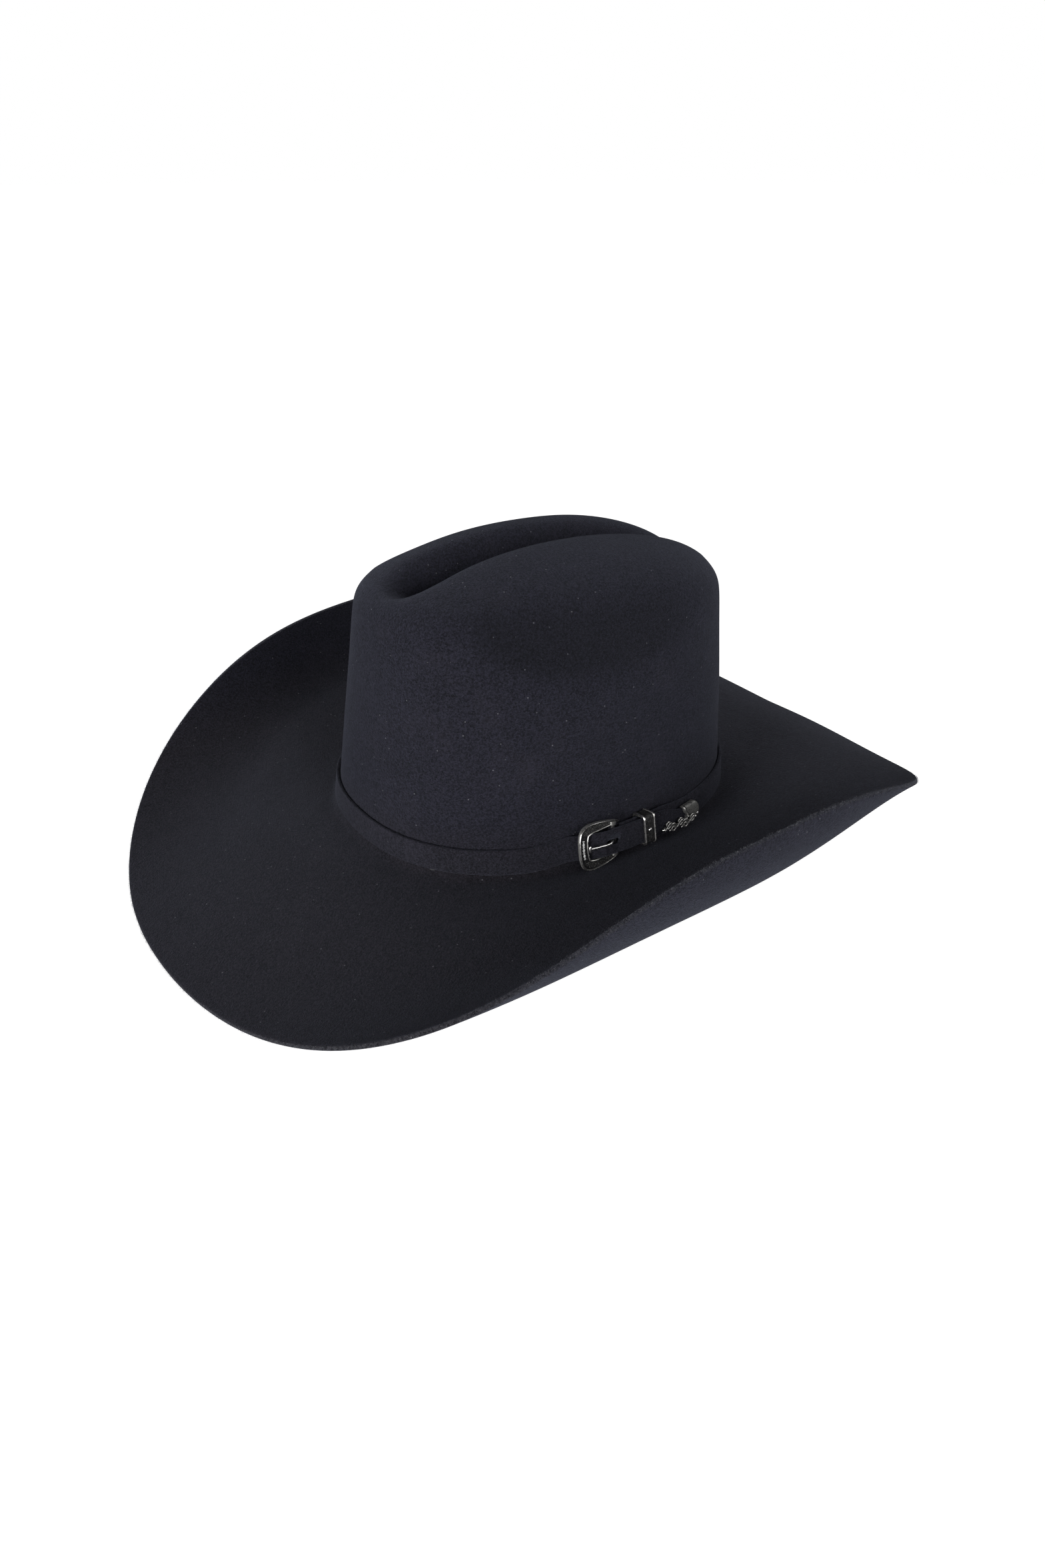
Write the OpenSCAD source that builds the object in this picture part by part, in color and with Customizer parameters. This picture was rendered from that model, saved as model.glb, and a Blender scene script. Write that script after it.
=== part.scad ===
// Western felt hat: creased crown, rolled brim, felt band with a three-piece buckle set, leather sweatband and lining.
// Millimetres. Front is -Y, the wearer's left is +X, up is +Z.
// The origin is the centre of the head opening, at the level where the crown meets the brim.

/* [Head oval] */
// Half length of the crown's base, front to back
oval_l = 105.5; // [101:0.5:110]
// Half width of the crown's base
oval_w = 90; // [85:0.5:94]
// Squareness of the oval, 2 is an ellipse
oval_n = 2.3; // [2:0.1:2.6]
// How much wider the oval is at the back than at its middle, as a share of its width
oval_egg = 0.06; // [0:0.01:0.1]

/* [Felt] */
// Thickness of the felt in the brim and crown
felt = 2.6; // [2.2:0.1:3.2]
// Radius of the break between crown and brim
brim_break = 4.5; // [3:0.5:7]

/* [Brim] */
// Width of the brim at the sides, along the felt
brim_side = 106; // [95:1:115]
// Width of the brim at the front
brim_front = 112; // [100:1:120]
// Width of the brim at the back
brim_back = 99; // [90:1:110]
// Slope of the felt at the sides, next to the crown
side_slope = 12; // [0:1:20]
// Slope of the felt at the sides, at the rolled edge
side_roll = 104; // [60:1:110]
// Slope of the felt at the front, next to the crown and at the edge
front_slope = [-11.5, -5.5]; // [-20:0.5:5]
// Slope of the felt at the back, next to the crown and at the edge
back_slope = [-3.5, -25.5]; // [-30:0.5:5]
// Share of the brim's width that stays straight before the roll
roll_start = 0.5; // [0.3:0.05:0.6]
// How closely the roll keeps to the sides in front, next to the crown and at the edge
front_grip = [4.7, 2.8]; // [1:0.1:6]
// How closely the roll keeps to the sides behind, next to the crown and at the edge
back_grip = [1.3, 4]; // [1:0.1:6]
// Drop of the crown's base at the front and at the back
base_drop = [-1, 3]; // [-3:0.5:6]

/* [Crown] */
// Height of the ridges above the base, where they are highest
crown_h = 139.5; // [125:0.5:150]
// Place of the highest point along the crown
peak_y = -15.5; // [-30:0.5:0]
// Fall of the ridges from the peak to the front
front_fall = 8.5; // [4:0.5:14]
// Fall of the ridges from the peak to the back
back_fall = 23.5; // [15:0.5:30]
// Half length of the crown's top oval
top_l = 101.5; // [96:0.5:105]
// Half width of the crown's top oval
top_w = 66; // [60:0.5:72]
// Place of the top oval's centre along the crown
top_y = 11; // [6:0.5:14]
// Height of the rounded shoulder
shoulder = 19.5; // [14:0.5:24]
// Squareness of the shoulder
shoulder_n = 2.9; // [2.2:0.1:3.6]
// Fall of the top from its middle line to its sides
top_fall = 12; // [6:0.5:18]

/* [Creases] */
// Depth of the middle crease at its front, middle and back
crease_d = [24, 24, 3]; // [0:1:30]
// Half width of the middle crease at its front and back
crease_w = [9.5, 10]; // [7:0.5:14]
// Depth of the two side dents
dent_d = 10; // [0:0.5:14]
// Place along the crown of the dents' deepest point
dent_y = -20; // [-45:1:-15]
// Height of the dents' deepest line at the crown's middle
dent_z = 107; // [104:1:118]
// Reach of a dent towards the front and towards the back
dent_reach = [44, 65]; // [20:1:80]
// Reach of a dent down from its deepest line
dent_half = 16; // [10:0.5:20]

/* [Band] */
// Height of the felt band
band_h = 12.5; // [11:0.5:13]
// Thickness of the felt band
band_t = 1.8; // [1.4:0.1:2.2]
// Height of the band's middle above the crown's base
band_z = 9.5; // [9:0.5:11]
// Height of the band's end in its ferrule
tip_h = 8.6; // [8:0.1:9.5]
// Height of the middle of the band's end in its ferrule
tip_z = 9.2; // [8.5:0.1:10]
// Place along the crown of the buckle's bar
buckle_y = -17; // [-25:0.5:-10]
// Height of the buckle's middle above the crown's base
buckle_z = 12.5; // [12:0.5:13.5]

/* [Buckle set] */
// Radius of the buckle's bar
bar_r = 1.05; // [0.9:0.05:1.2]
// Height of the buckle's closed end
buckle_h = 24; // [22:0.5:25]
// Length of the buckle from its bar to the closed end
buckle_len = 21; // [19:0.5:24]
// Thickness of the metal in the keeper and the ferrule
sheet = 0.9; // [0.7:0.1:1.1]
// Width of the keeper
keeper_w = 7; // [6:0.5:8]
// Distance from the bar to the keeper's middle
keeper_a = 18; // [17:0.5:19]
// Length of the ferrule on the band's end
ferrule_len = 13; // [11:0.5:15]
// Distance from the bar to the ferrule's rounded end
tip_a = 56; // [54:0.5:58]

/* [Inside] */
// Height of the leather sweatband
sweat_h = 46; // [40:1:52]
// Thickness of the leather sweatband
sweat_t = 1.1; // [0.8:0.1:1.4]
// Radius of the reed in the sweatband's lower edge
reed_r = 1.2; // [1:0.1:1.5]
// Thickness of the satin lining
satin = 0.5; // [0.4:0.1:0.8]
// Height at which the lining's tip lies
lining_z = 86; // [78:1:90]

/* [Hidden] */

felt_black = "#1b1b20";
silver_grey = "#b9b8b2";
saddle_tan = "#7a5233";
satin_grey = "#8c8a86";
thread_black = "#242428";

around = 88;                  // facets round the felt body
around_inside = 72;           // facets round the sweatband and lining
gap = 0.2;                    // air between layers that lie on each other
hug = 0.3;                    // air between the crown and the first layer on it
chape_t = 1.2;
keeper_back = 0.5;            // thickness of the keeper's strip behind the band
// Distances of the layers under the buckle, measured out from the crown's wall
level_chape_in = hug + keeper_back + gap;
level_bar = level_chape_in + chape_t + gap + band_t/2;
level_end = level_bar;
level_chape_out = level_end + band_t/2 + gap;
level_billet = level_chape_out + chape_t + hug + band_t/2;
level_band = hug + band_t/2;
level_tip = 4.8;
chape_len = 12;               // length of the chape's two leaves behind the bar
chape_h = band_h - 1;
bore_air = 0.05;              // running clearance round the bar
full = 360;

// ---- shape of the oval, the crown and the brim ----

function signed_pow(v, e) = sign(v)*pow(abs(v), e);
function mix(a, b, k) = a + (b - a)*k;
function clamp(v) = min(1, max(0, v));

// A point of an oval, at angle t from the wearer's left towards the front
function oval(t, l, w, n) = [w*signed_pow(cos(t), 2/n), -l*signed_pow(sin(t), 2/n)];
function base_oval(t, in = 0) =
    let (p = oval(t, oval_l - in, oval_w - in, oval_n)) [p.x*(1 + oval_egg*p.y/oval_l), p.y];
function top_oval(t, in = 0) = oval(t, top_l - in, top_w - in, oval_n) + [0, top_y];

// Direction straight out from the base oval
function base_normal(t) =
    let (p = base_oval(t), g = [signed_pow(p.x/oval_w, oval_n - 1)/oval_w, signed_pow(p.y/oval_l, oval_n - 1)/oval_l])
    g/norm(g);
function base_z(t) = let (n = base_normal(t)) -base_drop[n.y < 0 ? 0 : 1]*n.y*n.y;

function ridge_z(y) = let (e = y - peak_y)
    crown_h - (e < 0 ? front_fall*pow(e/(peak_y - top_y + top_l), 2) : back_fall*pow(e/(top_l + top_y - peak_y), 2));
function crease(x, y) =
    let (s = clamp((y + top_l - top_y)/(2*top_l)), w = mix(crease_w[0], crease_w[1], clamp(2*s)))
    smooth(clamp((s - 0.02)/0.16))
        *(crease_d[0]*pow(1 - s, 2) + 2*crease_d[1]*s*(1 - s) + crease_d[2]*s*s)*exp(-pow(x/w, 2));

// Pushes a point of the crown in where the side dents are
function dented(p) =
    let (reach = dent_reach[p.y < dent_y ? 0 : 1], line = dent_z - 0.1*p.y,
        off = pow((p.y - dent_y)/reach, 2) + pow(max(0, line - p.z)/dent_half, 2),
        k = exp(-off*off)*(1 - exp(-pow(p.x/38, 2))))
    [p.x - sign(p.x)*dent_d*k, p.y, p.z];

// The crown's wall at share k of its height, and its top at angle a of the shoulder, moved in by a thickness
function wall_top(t, in = 0) = let (p = top_oval(t, in)) [p.x, p.y, ridge_z(p.y) - shoulder - in];
function wall(t, k, in = 0) =
    let (b = base_oval(t, in)) dented(mix([b.x, b.y, base_z(t)], wall_top(t, in), k));
function top(t, a, in = 0) =
    let (r = pow(cos(a), 2/shoulder_n), o = top_oval(t, in) - [0, top_y], x = o.x*r, y = o.y*r + top_y)
    dented([x, y, ridge_z(y) - in - shoulder*(1 - pow(max(0, 1 - pow(r, shoulder_n)), 1/shoulder_n))
        - top_fall*pow(x/top_w, 2) - crease(x, y)]);

// The brim's face at share u of its width, moved down through the felt by a depth
function brim_width(n) = mix(brim_side, n.y < 0 ? brim_front : brim_back, n.y*n.y);
function brim_slope(n, end) =
    let (slope = n.y < 0 ? front_slope[end] : back_slope[end], grip = n.y < 0 ? front_grip[end] : back_grip[end])
    mix(slope, end == 0 ? side_slope : side_roll, pow(abs(n.x), grip));
function arc(from, to, length) =
    let (half = (to - from)*PI/360, chord = length*(abs(half) < 0.001 ? 1 : sin((to - from)/2)/half))
    chord*[cos((from + to)/2), sin((from + to)/2)];
function brim(t, u, down = 0) =
    let (n = base_normal(t), b = base_oval(t), w = brim_width(n), s0 = brim_slope(n, 0), s1 = brim_slope(n, 1),
        k = clamp((u - roll_start)/(1 - roll_start)), s = mix(s0, s1, k),
        run = w*min(u, roll_start)*[cos(s0), sin(s0)] + arc(s0, s, w*max(0, u - roll_start)),
        r = run.x + down*sin(s), z = base_z(t) + run.y - down*cos(s))
    [b.x + n.x*r, b.y + n.y*r, z];

// The rounded break between wall and brim
function break_curve(t, q, in = 0) =
    let (a = wall(t, (brim_break + in)/100, in), b = brim(t, (brim_break + in)/brim_side, in), n = base_normal(t),
        c0 = base_oval(t, in), c = [c0.x, c0.y, base_z(t) - in])
    a*pow(1 - q, 2) + c*2*q*(1 - q) + b*q*q;

// A closed skin through rings of points, with a point at each end
function ring_faces(rows, m) = [for (i = [0:rows - 2], j = [0:m - 1])
    each let (a = i*m + j, b = i*m + (j + 1) % m, c = a + m, d = b + m) [[a, c, b], [b, c, d]]];
module skin(rings, first, last) {
    rows = len(rings);
    m = len(rings[0]);
    points = concat([for (r = rings) each r], [first, last]);
    caps = [for (j = [0:m - 1]) each [[rows*m, j, (j + 1) % m],
        [rows*m + 1, (rows - 1)*m + (j + 1) % m, (rows - 1)*m + j]]];
    polyhedron(points = points, faces = concat(ring_faces(rows, m), caps), convexity = 8);
}

// A closed band through rings of points, the last ring joined to the first
module hoop(rings) {
    rows = len(rings);
    m = len(rings[0]);
    polyhedron(points = [for (r = rings) each r], convexity = 8, faces = [for (i = [0:rows - 1], j = [0:m - 1])
        each let (i2 = (i + 1) % rows, a = i*m + j, b = i*m + (j + 1) % m, c = i2*m + j, d = i2*m + (j + 1) % m)
        [[a, c, b], [b, c, d]]]);
}

// A closed strip through sections of points, its two ends filled
module strip(sections) {
    rows = len(sections);
    m = len(sections[0]);
    polyhedron(points = [for (r = sections) each r], convexity = 8, faces = concat(ring_faces(rows, m),
        [[for (j = [0:m - 1]) j]], [[for (j = [m - 1:-1:0]) (rows - 1)*m + j]]));
}

// ---- places on the crown's wall ----

function t_at(y) = -sign(y)*asin(pow(abs(y)/oval_l, oval_n/2));
function wall_at(t, z) = wall(t, z/(wall_top(t).z - base_z(t)));
function along_wall(t) = let (d = wall_at(t - 0.5, band_z) - wall_at(t + 0.5, band_z), f = [d.x, d.y]) f/norm(f);
function wall_turn(t) = let (d = along_wall(t)) atan2(-d.x, d.y);
function wall_lean(t) = let (d = wall_at(t, band_z + 4) - wall_at(t, band_z - 4), c = wall_turn(t))
    -atan2(d.x*cos(c) + d.y*sin(c), d.z);
function wall_out(t) = let (c = wall_turn(t), l = wall_lean(t)) [cos(c)*cos(l), sin(c)*cos(l), sin(l)];
function on_band(t, z, out) = wall_at(t, z) + out*wall_out(t);

bar_t = t_at(buckle_y);
bar_turn = wall_turn(bar_t);
bar_lean = wall_lean(bar_t);

// Draws its children with X along the band towards the back, Y up the wall and Z out from the wall
module on_wall(t, z = band_z) {
    translate(wall_at(t, z)) rotate([0, 0, wall_turn(t)]) rotate([0, -wall_lean(t), 0]) rotate([90, 0, 90]) children();
}

// The angle on the oval of a place at a distance a behind the bar
function t_behind(a) = t_at(buckle_y + a*cos(bar_turn));

// ---- felt body ----

cap_angles = [for (i = [1:12]) 88*pow((13 - i)/12, 0.8)];
wall_steps = [1, 0.92, 0.82, 0.66, 0.44, 0.2];
break_steps = [0, 0.22, 0.5, 0.75, 1];
brim_steps = [0.12, 0.26, 0.4, 0.5, 0.59, 0.68, 0.77, 0.86, 0.93, 0.98, 1];
under_steps = [1, 0.93, 0.84, 0.75, 0.66, 0.57, 0.48, 0.3, 0.14];
inner_steps = [0.24, 0.5, 0.68, 0.76, 0.82, 0.88, 0.94, 1];
inner_angles = [for (i = [1:8]) 88*pow(i/8, 0.8)];
turns = [for (i = [0:around - 1]) full*i/around];

module felt_body() {
    color(felt_black) skin(
        [for (a = cap_angles) [for (t = turns) top(t, a)],
            for (k = wall_steps) [for (t = turns) wall(t, k)],
            for (q = break_steps) [for (t = turns) break_curve(t, q)],
            for (u = brim_steps) [for (t = turns) brim(t, u)],
            for (u = under_steps) [for (t = turns) brim(t, u, felt)],
            for (q = [1, 0.6, 0.25, 0]) [for (t = turns) break_curve(t, q, felt)],
            for (k = inner_steps) [for (t = turns) wall(t, k, felt)],
            for (a = inner_angles) [for (t = turns) top(t, a, felt)]],
        top(0, 90), top(0, 90, felt));
}

// ---- band ----

band_start = t_behind(3.5);
band_end = t_behind(tip_a - 1.5) - full;
band_count = 120;
band_edge = 0.45;             // bevel along the band's edges
settle_a = keeper_a + 8;      // behind the keeper the layers settle back onto the crown
rise_a = [-26, -5];           // the band rises under the buckle between these distances from the bar
function smooth(k) = k*k*(3 - 2*k);
// Share of the way from a distance behind the bar to another, for the band's first end and for its outer end
function share(t, from, to) = let (a = t_behind(from), b = t_behind(to)) smooth(clamp((a - t)/(a - b)));
function is_first(t) = t > -full/2;
function settled(t) = is_first(t) ? share(t, settle_a, settle_a + 24) : share(t + full, settle_a - 2, tip_a - 13);
function risen(t) = share(t + full, rise_a[0], rise_a[1]);
// The band's layer: held in the chape, then on the crown, then up under the buckle and over the chape
function band_level(t) = is_first(t) ? mix(level_end, level_band, settled(t))
    : mix(mix(level_band, level_billet, risen(t)), level_tip, settled(t));
function band_mid(t) = is_first(t) ? mix(buckle_z, band_z, settled(t))
    : mix(mix(band_z, buckle_z, share(t + full, -45, -15)), tip_z, settled(t));
function band_half(t) = mix(band_h, is_first(t) ? band_h : tip_h, settled(t))/2;
function band_section(t) =
    let (h = band_half(t), level = band_level(t), z = band_mid(t), e = band_edge)
    [for (c = [[-h, e - band_t/2], [e - h, -band_t/2], [h - e, -band_t/2], [h, e - band_t/2], [h, band_t/2 - e],
        [h - e, band_t/2], [e - h, band_t/2], [-h, band_t/2 - e]]) on_band(t, z + c[0], level + c[1])];

slot_len = 7.4;               // the slot that the prong comes through
slot_half = 1.7;
module hatband() {
    color(felt_black) difference() {
        strip([for (i = [0:band_count]) band_section(mix(band_start, band_end, i/band_count))]);
        on_wall(bar_t, buckle_z) translate([-slot_len + 1.2, -slot_half, level_billet - 2])
            cube([slot_len, 2*slot_half, 5]);
    }
}

// Short tacks that hold the band to the crown, clear of the buckle
tack_count = 8;
tack_from = -40;
tack_to = -300;
module band_stitches() {
    color(thread_black) for (i = [0:tack_count - 1])
        on_wall(mix(tack_from, tack_to, i/(tack_count - 1)), band_z - band_h/2)
            translate([0, -0.7, hug + 0.4]) rotate([0, 90, 0]) cylinder(h = 2.4, r = 0.3, center = true, $fn = 16);
}

// ---- buckle set ----

eye_half = 1.3;               // half height of the prong's eye
module buckle_chape() {
    out_r = level_bar - level_chape_in;
    color(felt_black) on_wall(bar_t, buckle_z) translate([0, 0, level_bar]) difference() {
        union() {
            rotate([90, 0, 0]) cylinder(h = chape_h, r = out_r, center = true, $fn = 48);
            for (s = [-1, 1])
                translate([0, -chape_h/2, s > 0 ? out_r - chape_t : -out_r]) cube([chape_len, chape_h, chape_t]);
        }
        rotate([90, 0, 0]) cylinder(h = band_h*2, r = bar_r + bore_air, center = true, $fn = 48);
        translate([0, -band_h, chape_t - out_r]) cube([chape_len + 1, band_h*2, 2*(out_r - chape_t)]);
        translate([-4, -eye_half - 0.3, -4]) cube([8, 2*eye_half + 0.6, 8]);
    }
}

module chape_stitches() {
    color(thread_black) on_wall(bar_t, buckle_z) for (s = [-1, 1], i = [0:3])
        translate([5.2 + 1.8*i, s*(chape_h/2 - 1.4), level_chape_out + chape_t])
            rotate([0, 90, 0]) cylinder(h = 1.2, r = 0.15, center = true, $fn = 16);
}

module buckle_bar() {
    color(silver_grey) on_wall(bar_t, buckle_z) translate([0, 0, level_bar]) rotate([90, 0, 0])
        cylinder(h = bar_len, r = bar_r, center = true, $fn = 48);
}

// The frame's outline: a wide closed end and two arms that taper towards the band's tip
arm_tip = [3, 7.1];
module frame_plan(grow = 0) {
    offset(delta = grow) difference() {
        hull() {
            translate([-buckle_len + 6, 0]) scale([0.5, 1]) circle(r = buckle_h/2, $fn = 64);
            for (s = [-1, 1]) {
                translate([-7, s*(buckle_h/2 - 2.4)]) circle(r = 2, $fn = 32);
                translate([arm_tip.x - 1, s*(arm_tip.y + 1)]) circle(r = 0.9, $fn = 24);
            }
        }
        hull() for (s = [-1, 1]) {
            translate([-buckle_len + 7, s*5.4]) circle(r = 2, $fn = 32);
            translate([8, s*(arm_tip.y - 0.6)]) circle(r = 0.3, $fn = 16);
        }
    }
}

frame_t = 1.5;
frame_back = 0.3 - frame_t/2; // the frame's back face, measured from the bar's middle
frame_bead = 0.8;             // width of the raised beads along the frame's edges
frame_bead_h = 0.7;
frame_tilt = 6;               // the closed end stands out over the band
bar_seat_y = 8;               // where the bar's ends sit in the arms
bar_len = 17.4;
module buckle_frame() {
    color(silver_grey) on_wall(bar_t, buckle_z) translate([0, 0, level_bar]) difference() {
        rotate([0, frame_tilt, 0]) translate([0, 0, frame_back]) {
            linear_extrude(frame_t) frame_plan();
            linear_extrude(frame_t + frame_bead_h) difference() {
                frame_plan();
                frame_plan(-frame_bead);
            }
            for (s = [-1, 1]) translate([0, s*bar_seat_y, -frame_back])
                rotate([90, 0, 0]) cylinder(h = 1.6, r = 1.7, center = true, $fn = 32);
        }
        rotate([90, 0, 0]) cylinder(h = 2*buckle_h, r = bar_r, center = true, $fn = 48);
    }
}

module buckle_prong() {
    rise = level_billet + band_t/2 + 0.75 - level_bar;
    points = [[-1.4, 1.2], [-4, rise - 0.4], [-6.2, rise + 0.1], [-10, rise - 0.4], [-15.4, rise - 1.3]];
    color(silver_grey) on_wall(bar_t, buckle_z) translate([0, 0, level_bar]) difference() {
        union() {
            rotate([90, 0, 0]) cylinder(h = 2*eye_half, r = 2.05, center = true, $fn = 48);
            for (i = [0:3]) hull() for (p = [points[i], points[i + 1]])
                translate([p[0], 0, p[1]]) rotate([90, 0, 0]) cylinder(h = 1.9, r = 0.6, center = true, $fn = 16);
        }
        rotate([90, 0, 0]) cylinder(h = 9, r = bar_r + bore_air, center = true, $fn = 48);
    }
}

keeper_t = t_behind(keeper_a);
keeper_air = 0.55;
keeper_low = hug - 0.05;
keeper_high = level_billet + band_t/2 + keeper_air + sheet;
module keeper_loop() {
    depth = keeper_high - keeper_low;
    height = band_h + 2*keeper_air + 2*sheet;
    color(silver_grey) on_wall(keeper_t, buckle_z) translate([0, 0, keeper_low]) difference() {
        union() {
            translate([-keeper_w/2, -height/2, 0]) cube([keeper_w, height, depth]);
            for (s = [-1, 1]) translate([s*(keeper_w/2 - 0.5) - 0.5, -height/2 - 0.4, 0.6])
                cube([1, height + 0.8, depth - 0.2]);
        }
        translate([-keeper_w, -height/2 + sheet, keeper_back])
            cube([2*keeper_w, height - 2*sheet, depth - sheet - keeper_back]);
    }
}

module keeper_rivet() {
    color(silver_grey) on_wall(keeper_t, buckle_z) translate([0, 0, keeper_high]) intersection() {
        translate([0, 0, -0.4]) sphere(r = 1.1, $fn = 32);
        translate([0, 0, 1]) cube(2, center = true);
    }
}

// A generic running scroll that lies over the band and the ferrule: rings along a straight stem, a bead at each end
ornament_a = 38;
ornament_t = t_behind(ornament_a);
ornament_len = 22;
ornament_out = band_level(ornament_t - full);
ornament_mid = [0.5, -2.2];
ornament_seat = ornament_out + band_t/2 + 0.9;
ornament_tilt = 2.3;          // its front end rides higher, on the keeper's side
ornament_turn = -9;
ring_count = 4;
ring_gap = 5;
ring_r = 2.9;
module scroll_ornament() {
    color(silver_grey) on_wall(ornament_t, band_mid(ornament_t - full))
        translate([ornament_mid.x, ornament_mid.y, ornament_seat]) rotate([0, ornament_tilt, ornament_turn]) {
        for (i = [0:ring_count - 1]) translate([(i - (ring_count - 1)/2)*ring_gap, i % 2 == 0 ? 0.3 : -0.3, 0])
            difference() {
                cylinder(h = 1.2, r = ring_r, $fn = 40);
                translate([0, 0, -1]) cylinder(h = 4, r = ring_r - 0.9, $fn = 40);
            }
        translate([-ornament_len/2, -0.45, 0]) cube([ornament_len, 0.9, 0.9]);
        for (s = [-1, 1]) translate([s*ornament_len/2, 0, 0]) cylinder(h = 1.4, r = 1.1, $fn = 32);
    }
}

// Two pins on its back go through the band
pin_x = [-5, 1];
module ornament_pins() {
    color(silver_grey) on_wall(ornament_t, band_mid(ornament_t - full)) for (x = pin_x)
        translate([x, ornament_mid.y + x*sin(ornament_turn), ornament_out - band_t/2 - 0.2])
            cylinder(h = ornament_seat - ornament_out + band_t/2 + 0.6, r = 0.45, $fn = 24);
}

ferrule_t = t_behind(tip_a - ferrule_len/2);
module tip_ferrule() {
    deep = band_t + 2*sheet - 0.1;
    high = tip_h + 2*sheet;
    color(silver_grey) on_wall(ferrule_t, tip_z) translate([0, 0, level_tip - deep/2]) difference() {
        union() {
            translate([-ferrule_len/2, -high/2, 0]) cube([ferrule_len - high/2, high, deep]);
            translate([ferrule_len/2 - high/2, 0, 0]) cylinder(h = deep, r = high/2, $fn = 48);
        }
        translate([-ferrule_len, -tip_h/2 - 0.1, sheet - 0.15]) cube([ferrule_len*1.42, tip_h + 0.2, band_t + 0.2]);
        translate([-ferrule_len/2 - 1.2, 0, -1]) cylinder(h = 9, r = 3, $fn = 48);
    }
}

module tip_rivet() {
    deep = band_t + 2*sheet;
    color(silver_grey) on_wall(ferrule_t, tip_z) translate([1.5, 0, level_tip + deep/2 - 0.05])
        cylinder(h = 0.5, r = 0.9, $fn = 32);
}

// ---- inside ----

inside_turns = [for (i = [0:around_inside - 1]) full*i/around_inside];
// A point inside the crown at a height above its base and a depth in from its outer face
function inside_pt(t, z, in) = wall(t, z/(wall_top(t, in).z - base_z(t)), in);
// A strip all round the inside of the crown, between two heights and two depths
module inside_hoop(z0, z1, in0, in1, steps) {
    hoop(concat(
        [for (i = [0:steps]) [for (t = inside_turns) inside_pt(t, mix(z0, z1, i/steps), in1)]],
        [for (i = [steps:-1:0]) [for (t = inside_turns) inside_pt(t, mix(z0, z1, i/steps), in0)]]));
}

lining_in = felt + 0.5;       // depth of the lining in from the crown's outer face
sweat_low = 3;
sweat_in = lining_in + satin + gap;
module sweatband() {
    color(saddle_tan) inside_hoop(sweat_low, sweat_low + sweat_h, sweat_in, sweat_in + sweat_t, 4);
}

// A round cord along the sweatband's lower edge
reed_z = sweat_low - reed_r - 0.2;
reed_in = sweat_in + sweat_t/2;
module sweatband_reed() {
    color(thread_black) hoop([for (a = [0:45:315]) [for (t = inside_turns)
        let (n = base_normal(t), p = inside_pt(t, reed_z, reed_in)) p + reed_r*[n.x*cos(a), n.y*cos(a), sin(a)]]]);
}

// Running stitches that hold the sweatband to its reed
reed_stitch_count = 90;
module reed_stitches() {
    color(thread_black) for (i = [0:reed_stitch_count - 1]) {
        t = full*i/reed_stitch_count;
        n = base_normal(t);
        translate(inside_pt(t, sweat_low + 2.5, sweat_in + sweat_t + 0.25)) rotate([0, 0, atan2(n.y, n.x)])
            rotate([90, 0, 0]) cylinder(h = 2.8, r = 0.2, center = true, $fn = 6);
    }
}

module sweatband_seam_tape() {
    color(saddle_tan) strip([for (z = [sweat_low + 4, sweat_low + sweat_h - 2])
        [for (c = [[-5, 0], [-5, 0.7], [5, 0.7], [5, 0]])
            let (t = -90 + c[0]*0.55) inside_pt(t, z, sweat_in + sweat_t + 0.15 + c[1])]]);
}

// A small ribbon bow at the back of the sweatband: two loops, a knot and two tails
module sweatband_bow() {
    p = inside_pt(-90, sweat_low + 13, sweat_in + sweat_t + 2.6);
    color(thread_black) translate(p) rotate([90, 0, 0]) {
        translate([-1.6, -1.6, -0.9]) cube([3.2, 3.2, 1.8]);
        for (s = [-1, 1]) {
            difference() {
                translate([s*5, 0, 0]) cylinder(h = 1.4, r = 3.4, center = true, $fn = 32);
                translate([s*5, 0, 0]) cylinder(h = 3, r = 2.8, center = true, $fn = 32);
            }
            translate([s*2.6, -5, 0]) rotate([0, 0, s*22]) cube([2, 8, 0.8], center = true);
        }
    }
}

lining_low = 24;
module lining_side() {
    color(satin_grey) inside_hoop(lining_low, lining_z, lining_in, lining_in + satin, 5);
}

// A flat oval that closes the lining, slightly domed
function tip_oval(t, share, in) =
    let (p = inside_pt(t, lining_z, lining_in + satin + 1.6)) [p.x*share, p.y*share, p.z + in];
module lining_tip() {
    shares = [1, 0.94, 0.7, 0.4, 0.1];
    rises = [0, 0.8, 1.6, 2.2, 2.6];
    color(satin_grey) skin(
        concat([for (i = [4:-1:0]) [for (t = inside_turns) tip_oval(t, shares[i], rises[i] + satin)]],
            [for (i = [0:4]) [for (t = inside_turns) tip_oval(t, shares[i], rises[i])]]),
        [0, 0, lining_z + 2.7 + satin], [0, 0, lining_z + 2.7]);
}

module lining_piping() {
    color(satin_grey) hoop([for (a = [0:60:300]) [for (t = inside_turns)
        let (n = base_normal(t), p = inside_pt(t, lining_z - 1, lining_in + satin + 0.75))
        p + 0.55*[n.x*cos(a), n.y*cos(a), sin(a)]]]);
}

// A blank paper tab under the sweatband, at the back
module size_tab() {
    color("white") strip([for (z = [sweat_low + sweat_h + 0.6, sweat_low + sweat_h + 10])
        [for (c = [[-6, 0], [-6, 0.3], [6, 0.3], [6, 0]])
            let (t = -110 + c[0]*0.55) inside_pt(t, z, lining_in + satin + gap + c[1])]]);
}

felt_body();
hatband();
band_stitches();
buckle_chape();
chape_stitches();
buckle_bar();
buckle_frame();
buckle_prong();
keeper_loop();
keeper_rivet();
scroll_ornament();
ornament_pins();
tip_ferrule();
tip_rivet();
sweatband();
sweatband_reed();
reed_stitches();
sweatband_seam_tape();
sweatband_bow();
lining_side();
lining_tip();
lining_piping();
size_tab();
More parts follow.
